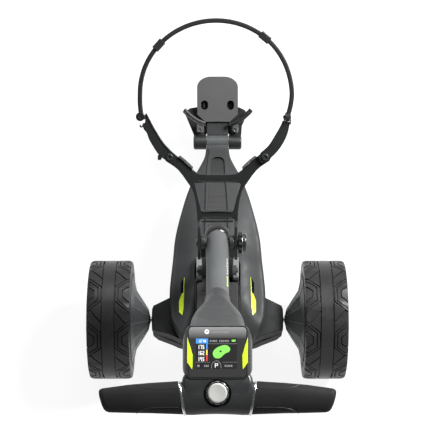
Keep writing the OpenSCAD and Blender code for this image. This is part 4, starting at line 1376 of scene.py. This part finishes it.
def build_pads():
    """Ribbed rubber pads on the upper edges of the yoke."""
    pads = Shape(BRACKET)
    for side in (-1, 1):
        upper = []
        for i in range(27):
            share = i / 26
            x = 76.6 - 27.0 * share
            z = 179.4 - 24.0 * share + 1.2 * math.sin(math.pi * share)
            tooth = 0.9 if i % 2 else -0.3
            upper.append((x - 0.64 * tooth, z + 0.77 * tooth))
        lower = [(50.6, 151.8), (64.0, 164.6), (79.6, 177.0)]
        pads.prism(upper + lower, -9.0, 4.0, side=side, bevel=0.4, angle=20.0, local=UPRIGHT)
    pads.finish("bracket_ribbed_pads", "bag_bracket", "pad_rubber", ("bracket_pads",))


def build_arm_bolts():
    bolts = Shape(BRACKET)
    head = ((0.001, -13.0), (3.0, -13.0), (3.2, -14.8), (5.8, -15.0), (6.9, -14.2), (7.0, -12.0),
            (4.0, -12.0), (4.0, 5.2), (6.9, 5.2), (6.9, 8.6), (6.2, 9.0), (0.001, 9.0))
    for side in (-1, 1):
        bolts.turned(head, 48, local=Matrix.Translation((97.0 * side, 0, 177.0)) @ BOLT_AXIS)
    bolts.finish("bracket_arm_bolts", "bag_bracket", "frame_black", ("arm_bolts",))


HOOP_R = 156.0
HOOP_CENTRE = 303.0
# The hoop is a little flat at its top and leans to the left there
HOOP_FLAT = 0.95
HOOP_LEAN = 2.6


def hoop_point(degrees, out=0.0, across=0.0):
    """A point of the strap, out from its middle line and across its width."""
    c = math.cos(math.radians(degrees))
    s = math.sin(math.radians(degrees))
    flat = HOOP_FLAT if s > 0.0 else 1.0
    lean = HOOP_LEAN * max(s + 0.1, 0.0) + 12.0 * max(-s, 0.0)
    if c > 0.0:
        lean += 1.6 * max(s, 0.0) * c + 5.6 * c**4
    return (HOOP_R + out) * c - lean, STRAP_PLANE + across, HOOP_CENTRE + (HOOP_R * flat + out) * s


def build_strap():
    strap = Shape(BRACKET)
    rings = []
    steps = 120
    start = -15.4
    for i in range(steps + 1):
        degrees = start + (180.0 - 2 * start) * i / steps
        ring = []
        for across, out in round_rect(14.0, 9.2, 2.2, 4):
            thick = out * (1.0 if abs(across) < 5.0 else 0.92)
            ring.append(hoop_point(degrees, thick, across))
        rings.append(ring)
    strap.loft(rings)
    for name, side in SIDES:
        middle = side * STRAP_FOOT[name]
        eye = 7.0 if side < 0 else 9.2
        strap.turned(((3.3, -4.2), (eye - 0.8, -4.2), (eye, -3.4), (eye, 3.4), (eye - 0.8, 4.2), (3.3, 4.2)),
                     48, local=strap_pin(name, side))
        strap.box((middle - 4.2, -17.6, 259.0), (middle + 4.2, -6.4, 266.0), 0.8)
    strap.finish("strap_band", "strap", "strap_rubber", ("strap",), sharp=34.0)


def build_strap_eye():
    """Round ring at the strap's left end."""
    eye = Shape(BRACKET)
    at = Matrix.Translation((-155.8, 0, 258.8)) @ BOLT_AXIS
    eye.turned(((0.001, -21.6), (3.2, -21.6), (4.0, -22.6), (5.0, -22.6), (5.6, -21.4), (6.8, -21.4),
               (7.4, -22.8), (8.5, -22.4), (9.0, -21.0), (8.8, -19.4), (0.001, -19.4)), 60, local=at)
    eye.finish("strap_eye", "strap", "bracket_black")


def build_strap_clips():
    clips = Shape(BRACKET)
    for angle in (138.0, 50.5):
        at = Matrix.Translation(hoop_point(angle)) @ Matrix.Rotation(math.radians(-angle), 4, "Y")
        outer = round_rect(14.8, 18.6, 2.4, 5)
        inner = round_rect(10.4, 14.4, 0.8, 3)
        clips.prism(outer, -11.8, 11.8, holes=(inner,), bevel=0.9, angle=50.0, local=at)
        lip = round_rect(15.2, 19.0, 2.6, 5)
        lip_hole = round_rect(12.0, 16.0, 1.6, 4)
        for z in (-8.4, 8.4):
            clips.prism(lip, z - 1.0, z + 1.0, holes=(lip_hole,), bevel=0.3, angle=50.0, local=at)
    clips.finish("strap_slides", "strap", "cover_black", ("strap_clips",))


# ---------------------------------------------------------------- front fork and lower bag support

def build_spine():
    """The spine, cut back so that the front knuckle stands clear."""
    obj = refined("spine", "cover_dark", 1.0)
    room = Shape(GROUND)
    room.box((-40.0, 433.5, 140.0), (40.0, 480.0, 196.0), 0.0)
    carve(obj, room)


def build_front_knuckle():
    knuckle = Shape(AT_FRONT)
    line = ((6.1, -26.8), (17.0, -26.8), (17.4, -26.4), (17.4, 26.4), (17.0, 26.8), (6.1, 26.8))
    knuckle.turned(line, 96)
    knuckle.finish("front_knuckle", "chassis", "rim_grey")


def build_fork_deck():
    """Ends of the front barrel and the web that carries the bag plate."""
    ends = Shape(AT_FRONT)
    line = ((6.1, 27.2), (17.0, 27.2), (17.4, 27.6), (17.4, 54.0), (16.4, 57.0), (13.6, 58.8), (6.1, 58.8))
    for side in (-1, 1):
        ends.turned(line, 96, side=side)
    deck = Matrix.Rotation(math.radians(BAG_TILT), 4, "X")
    web = ((27.2, 19.4), (57.0, 3.0), (58.6, 18.0), (60.0, 40.0), (68.0, 58.0), (71.0, 66.0),
           (70.0, 76.0), (64.0, 81.0), (52.0, 86.0), (-52.0, 86.0), (-66.0, 84.0), (-76.0, 78.0),
           (-79.0, 68.0), (-58.4, 18.0), (-57.0, 3.0), (-27.2, 19.4), (-27.2, 22.0), (27.2, 22.0))
    ends.prism(web, -14.0, -7.4, bevel=1.3, segments=3, angle=40.0, local=deck)
    foot = ((29.0, 4.0), (57.0, 4.0), (58.0, 20.0), (50.0, 21.0), (29.0, 21.0))
    for side in (-1, 1):
        ends.prism(foot, -12.0, -4.0, side=side, bevel=1.6, segments=3, local=deck)
    ends.finish("fork_deck", "front_fork", "frame_black", ("front_fork",))


def build_fork_blades():
    """Two flat bars from the front hinge to the front axle."""
    blades = Shape(AT_FRONT)
    run = (FRONT_WHEEL - FRONT) / MM
    along = Vector((run.y, run.z)).normalized()
    across = Vector((-along.y, along.x))
    line = []
    for at, radius, start in (((0.0, 0.0), 13.6, 90), ((run.y, run.z), 12.0, 270)):
        for i in range(13):
            a = math.radians(start + 180.0 * i / 12)
            offset = along * (radius * math.cos(a)) + across * (radius * math.sin(a))
            line.append((at[0] + offset.x, at[1] + offset.y))
    for side in (-1, 1):
        blades.prism(line, 28.8, 36.0, bevel=1.2, segments=3, local=to_side(side))
    blades.finish("fork_blades", "front_fork", "frame_black")


def arm_pivot(side):
    """Puts a turned piece on the screw that a lower arm swings on."""
    return Matrix.Translation((side * 43.2, 31.0, 0)) @ STEM_AXIS


def build_deck_details():
    block = Shape(PLATE)
    block.prism(both_halves(((26.4, 18.4), (26.4, 24.0), (25.6, 50.0), (24.0, 53.6))), -7.2, 1.4, bevel=0.6)
    block.finish("deck_block", "front_fork", "cover_dark")
    notch = Shape(PLATE)
    tabs = Shape(PLATE)
    screws = Shape(PLATE)
    cut = ((26.4, 23.0), (31.6, 23.0), (31.6, 40.0), (29.4, 47.0), (26.4, 47.0))
    tab = ((32.8, 24.6), (36.0, 22.2), (49.0, 22.2), (52.0, 25.0), (52.6, 34.0), (51.4, 44.0), (36.6, 48.0),
           (33.0, 42.0))
    screw = ((0.001, 16.0), (2.6, 16.0), (3.0, 17.0), (4.8, 17.0), (5.5, 16.2), (5.5, 14.4), (2.95, 14.4),
             (2.95, -7.4), (0.001, -7.4))
    for side in (-1, 1):
        # painted shade: a thin dark sheet laid in each notch beside the block
        notch.prism(cut, -7.0, -5.4, side=side, bevel=0.4)
        tabs.prism(tab, -7.2, -2.4, side=side, bevel=0.9, segments=3)
        screws.turned(screw, 40, local=arm_pivot(side))
        screws.rod(2.4, -3.0, -1.4, 0.5, local=Matrix.Translation((side * 30.0, 42.0, 0)) @ STEM_AXIS)
    notch.finish("deck_notch_shade", "front_fork", "cover_black")
    tabs.finish("deck_tabs", "front_fork", "pad_rubber")
    screws.finish("deck_screws", "front_fork", "steel")


def plate_slots(half_width, half_length, steps):
    """Outlines of the two slots in the bag plate."""
    return [slot_outline(side * 31.7, 91.3, half_width, half_length, steps) for side in (-1, 1)]


def build_bag_plate():
    half = 49.6
    right = [(half * 0.617, 51.2), (half, 69.0), (half, 80.0)]
    for k in range(15):
        a = math.radians(90 * k / 14)
        right.append((half - 34.0 * (1 - math.cos(a)), 134.6 + 26.0 * math.sin(a)))
    outline = both_halves(right)
    plate = Shape(PLATE)
    plate.prism(outline, 1.7, 7.4, holes=plate_slots(8.5, 11.5, 14), bevel=1.1, segments=3, angle=45.0)
    plate.finish("bag_plate_face", "front_fork", "plate_grey", ("bag_plate",), sharp=30.0)
    edge = Shape(PLATE)
    grown = [(x * 1.007, 100.0 + (y - 100.0) * 1.006) for x, y in outline]
    edge.prism(grown, 1.5, 5.2, holes=plate_slots(8.0, 11.0, 14), bevel=0.5, angle=45.0)
    edge.finish("bag_plate_edge", "front_fork", "cover_black")


def build_plate_underside():
    """Blind pockets behind the slots and the two pegs between them."""
    pockets = Shape(PLATE)
    for outer, inner in zip(plate_slots(10.6, 13.6, 12), plate_slots(8.6, 11.6, 12)):
        pockets.prism(outer, -9.0, 2.0, holes=[inner])
        pockets.prism(outer, -10.0, -8.6)
    pockets.finish("bag_plate_pockets", "front_fork", "cover_black")
    pegs = Shape(PLATE)
    pegs.box((-34.6, 84.0, -8.8), (-30.8, 98.6, -1.0), 0.8)
    pegs.box((30.0, 88.0, -8.8), (34.6, 97.0, -4.0), 0.8)
    pegs.finish("bag_plate_pegs", "front_fork", "cover_dark")


def arm_path(radius, start, stop, z, side, steps=18):
    """Arc of a lower arm, round a point ahead of the bag plate's slots."""
    line = []
    for i in range(steps + 1):
        a = math.radians(start + (stop - start) * i / steps)
        line.append((side * radius * math.cos(a), 145.0 + radius * math.sin(a), z))
    return line


def build_lower_arms():
    """The left arm is bare rods; the right one has a ribbed rubber sleeve."""
    hub = ((3.1, -6.4), (7.2, -6.4), (7.4, -5.6), (7.4, 13.0), (6.6, 13.9), (3.1, 13.9))
    link = ((36.4, 32.0), (50.0, 32.0), (50.6, 44.0), (46.0, 52.0), (37.0, 47.0))
    for name, side in SIDES:
        body = "lower_arm_" + name
        metal = Shape(PLATE)
        metal.turned(hub, 48, local=arm_pivot(side))
        metal.prism(link, 8.0, 13.6, side=side, bevel=0.9, segments=3)
        if side < 0:
            metal.tube(arm_path(101.6, -73, -38, 15.0, side), 3.4, 16, scale=(1.0, 1.1))
            metal.tube(arm_path(107.6, -72, -39, 13.0, side), 2.6, 14)
        else:
            metal.tube(arm_path(108.4, -72, -39, 11.4, side), 2.2, 14)
        metal.finish("lower_arm_rod_" + name, body, "pad_rubber", ("lower_arm_" + name,))
        dark = Shape(PLATE)
        if side < 0:
            dark.tube(arm_path(104.8, -72, -38.4, 14.0, side), 1.7, 12)
        else:
            path = arm_path(104.0, -73, -38, 15.4, side, 150)
            dark.tube(path, lambda share: 5.3 + 0.32 * math.cos(share * 2 * math.pi * 36), 20)
        dark.finish("lower_arm_sleeve_" + name, body, "bracket_black", weighted=False)


# ---------------------------------------------------------------- display

# Lit bars of each digit, in the usual naming of a seven-bar digit
SEGMENTS = {"0": "abcdef", "1": "bc", "2": "abged", "4": "fgbc", "5": "afgcd", "6": "afgecd", "7": "abc"}
SCREEN_Z = 1.56


def mark(shape, x0, y0, x1, y1, lift=0.12, radius=0.0):
    """A flat printed rectangle on the glass."""
    radius = radius or min(x1 - x0, y1 - y0) * 0.18
    outline = round_rect(x1 - x0, y1 - y0, radius, 3, (x0 + x1) / 2, (y0 + y1) / 2)
    shape.prism(outline, SCREEN_Z, SCREEN_Z + lift)


def draw_digit(shape, glyph, x, y, width, height, thick):
    middle = y + height / 2
    bars = {"a": (x, y + height - thick, x + width, y + height), "d": (x, y, x + width, y + thick),
            "g": (x, middle - thick / 2, x + width, middle + thick / 2),
            "f": (x, middle, x + thick, y + height), "b": (x + width - thick, middle, x + width, y + height),
            "e": (x, y, x + thick, middle), "c": (x + width - thick, y, x + width, middle)}
    for segment in SEGMENTS[glyph]:
        mark(shape, *bars[segment], lift=0.2, radius=0.2)


def draw_number(shape, digits, x, y, width, height, thick):
    pitch = width / len(digits)
    for i, glyph in enumerate(digits):
        draw_digit(shape, glyph, x + i * pitch, y, pitch * 0.72, height, thick)


def printed(name, paint, boxes):
    """A piece made of flat rectangles, each given as mark takes it."""
    shape = Shape(CONSOLE)
    for box in boxes:
        mark(shape, *box)
    shape.finish(name, "handle", paint, slot="display")


def build_display_digits():
    panel = Shape(CONSOLE)
    mark(panel, -36.8, -28.2, 33.0, 23.8, 0.07, 0.8)
    panel.finish("display_panel", "handle", "lcd_black", slot="display")
    white = Shape(CONSOLE)
    for digits, y in (("175", 5.4), ("162", -4.9), ("145", -15.0)):
        draw_number(white, digits, -33.8, y, 12.6, 7.0, 1.15)
    for digits, x in (("12", -31.8), ("40", -24.6)):
        draw_number(white, digits, x, 16.4, 5.6, 4.6, 0.8)
    mark(white, -4.4, -25.6, -3.2, -18.4)
    for y in (-19.6, -22.6):
        mark(white, -3.4, y, 0.0, y + 1.1)
    mark(white, -0.4, -22.4, 0.8, -18.6)
    white.finish("display_white_marks", "handle", "lcd_white", slot="display")


def build_display_lines():
    """Small grey marks, dividing lines and the arch at the foot of the display."""
    line = Shape(CONSOLE)
    for x, width in ((-13.0, 2.2), (-9.8, 1.4), (-7.4, 3.0), (-3.4, 2.4), (3.0, 1.6), (5.6, 3.0), (9.6, 2.2),
                     (12.8, 2.6), (16.4, 2.6)):
        mark(line, x, 17.2, x + width, 20.6)
    for x, width, height in ((-34.0, 3.8, 3.6), (-22.6, 1.8, 3.4), (-19.8, 2.2, 3.4), (-16.8, 1.8, 3.4),
                             (12.0, 2.4, 3.4), (15.4, 1.8, 3.4), (18.2, 2.6, 3.4), (21.8, 3.4, 3.4)):
        mark(line, x, -24.6, x + width, -24.6 + height)
    for i in range(9):
        mark(line, -10.6 + 3.4 * i, 32.0, -8.4 + 3.4 * i, 35.2)
    mark(line, -15.6, 14.1, 33.0, 14.6)
    mark(line, -36.8, -17.0, -12.6, -16.5)
    mark(line, 8.4, -17.0, 33.0, -16.5)
    arch = spline(((-10.3, -27.6), (-9.8, -22.0), (-7.6, -17.4), (-2.0, -14.4), (3.6, -17.4), (5.6, -22.0),
                   (6.1, -27.4)), 5)
    line.tube([(x, y, SCREEN_Z + 0.05) for x, y in arch], 0.42, 8)
    line.finish("display_grey_lines", "handle", "lcd_grey", slot="display")


def build_display_colours():
    printed("display_blue_marks", "lcd_blue",
            ((-36.4, 14.6, -15.9, 23.2, 0.1, 0.4), (-19.3, 5.0, -16.8, 14.2)))
    printed("display_yellow_marks", "lcd_yellow", ((-19.3, -4.8, -16.8, 4.6),))
    printed("display_red_marks", "lcd_red", ((-19.3, -14.8, -16.8, -5.2),))
    green = Shape(CONSOLE)
    mark(green, 24.0, 17.8, 30.6, 21.0)
    blob = spline(((-8.0, -2.6), (-6.6, 2.2), (-1.2, 7.6), (6.3, 10.9), (13.9, 12.0), (19.6, 9.2),
                  (21.4, 4.6), (19.0, 0.6), (14.7, -1.3), (11.0, -3.8), (6.2, -8.3), (0.7, -10.4),
                  (-5.1, -8.8)), 4, closed=True)
    green.prism(blob, SCREEN_Z, SCREEN_Z + 0.14)
    green.finish("display_green_map", "handle", "lcd_green", slot="display")
    spot = Shape(CONSOLE)
    spot.prism(arc(5.2, 1.6, 1.7, 0, 345, 23), SCREEN_Z, SCREEN_Z + 0.22)
    spot.finish("display_marker", "handle", "lcd_black", slot="display")
    badge = Shape(CONSOLE)
    badge.prism(arc(-18.0, 34.6, 4.0, 0, 345, 23), SCREEN_Z, SCREEN_Z + 0.14,
                holes=(arc(-17.6, 34.8, 1.3, 0, 330, 11),))
    badge.finish("display_badge_dot", "handle", "lcd_white", slot="display")


# ---------------------------------------------------------------- the whole trolley

def build_plain_parts():
    build_spine()
    for node in ("drive_housing_upper", "drive_housing_lower"):
        refined(node, "housing_dark", 1.4)
    refined("fold_pin", "bolt_dark", 0.6)
    refined("front_pins", "bolt_dark", 0.5)
    for node, bevel in (("belly_pan", 1.2), ("battery_tray", 0.8), ("battery_case", 1.2),
                        ("battery_lid", 1.2), ("battery_bail", 0.9), ("mid_crossmember", 1.0),
                        ("frame_catch", 0.8)):
        refined(node, SLOTS[node], bevel)


def build_trolley():
    paint_cad_nodes()
    build_plain_parts()
    for name, side in SIDES:
        build_rear_tyre(name, side)
        build_hub_cover(name, side)
        build_rear_rim(name, side)
        build_axle_end(name, side)
        build_arm(name, side)
        build_grip(name, side)
        build_grip_trim(name, side)
    build_front_tyre()
    build_front_rim()
    build_shroud()
    build_spine_panel()
    build_channel()
    build_accents()
    build_pivot_fairings()
    build_shaft_seals()
    build_battery()
    build_stem()
    build_hinge_head()
    build_knob()
    build_hinge_bolt()
    build_rails()
    build_neck()
    build_console_tub()
    build_console_top()
    build_display_digits()
    build_display_lines()
    build_display_colours()
    build_handle()
    build_dial()
    build_bracket()
    build_pads()
    build_arm_bolts()
    build_strap()
    build_strap_eye()
    build_strap_clips()
    build_front_knuckle()
    build_fork_deck()
    build_fork_blades()
    build_deck_details()
    build_bag_plate()
    build_plate_underside()
    build_lower_arms()


# ---------------------------------------------------------------- studio

def build_floor():
    data = bpy.data.meshes.new("floor")
    data.from_pydata([(-6, -6, 0), (6, -6, 0), (6, 6, 0), (-6, 6, 0)], [], [(0, 1, 2, 3)])
    floor = bpy.data.objects.new("floor", data)
    bpy.context.scene.collection.objects.link(floor)
    paper = Paint("floor_paper")
    paper.bsdf.inputs["Base Color"].default_value = (0.2, 0.2, 0.2, 1.0)
    paper.bsdf.inputs["Roughness"].default_value = 0.9
    paper.bsdf.inputs["Specular IOR Level"].default_value = 0.0
    paper.bsdf.inputs["Emission Color"].default_value = (1.0, 1.0, 1.0, 1.0)
    paper.bsdf.inputs["Emission Strength"].default_value = 0.88
    data.materials.append(paper.material)


def area_light(name, place, aim, size, power):
    lamp = bpy.data.lights.new(name, "AREA")
    lamp.shape = "RECTANGLE"
    lamp.size = size
    lamp.size_y = size
    lamp.energy = power
    obj = bpy.data.objects.new(name, lamp)
    obj.location = place
    toward = Vector(aim) - Vector(place)
    obj.rotation_euler = toward.to_track_quat("-Z", "Y").to_euler()
    obj.visible_camera = False
    bpy.context.scene.collection.objects.link(obj)


def build_world():
    """White light that is strong near the horizon and weak overhead."""
    world = bpy.data.worlds.new("studio")
    world.use_nodes = True
    bpy.context.scene.world = world
    tree = world.node_tree
    back = tree.nodes["Background"]
    back.inputs[0].default_value = (1.0, 1.0, 1.0, 1.0)
    direction = tree.nodes.new("ShaderNodeTexCoord")
    split = tree.nodes.new("ShaderNodeSeparateXYZ")
    tree.links.new(direction.outputs["Generated"], split.inputs[0])
    band = tree.nodes.new("ShaderNodeMapRange")
    for slot, number in zip((1, 2, 3, 4), (0.14, 0.4, 0.95, 0.1)):
        band.inputs[slot].default_value = number
    tree.links.new(split.outputs[2], band.inputs[0])
    tree.links.new(band.outputs[0], back.inputs[1])


def build_camera():
    """The photo's viewpoint: high behind the handle, looking down and ahead."""
    lens = bpy.data.cameras.new("camera")
    lens.lens = 113.05
    lens.sensor_width = 36.0
    lens.clip_end = 60.0
    camera = bpy.data.objects.new("camera", lens)
    camera.location = (0.0, -1.1781, 3.158)
    camera.rotation_euler = (math.radians(24.0), 0.0, 0.0)
    bpy.context.scene.collection.objects.link(camera)
    bpy.context.scene.camera = camera


def build_studio():
    build_world()
    build_floor()
    area_light("key", (1.7, 0.7, 2.6), (0.0, 0.0, 0.35), 0.9, 175.0)
    area_light("overhead", (-0.2, 1.5, 2.4), (0.0, 0.0, 0.3), 1.4, 30.0)
    build_camera()
    bpy.context.scene.view_settings.view_transform = "Standard"


build_trolley()
build_studio()
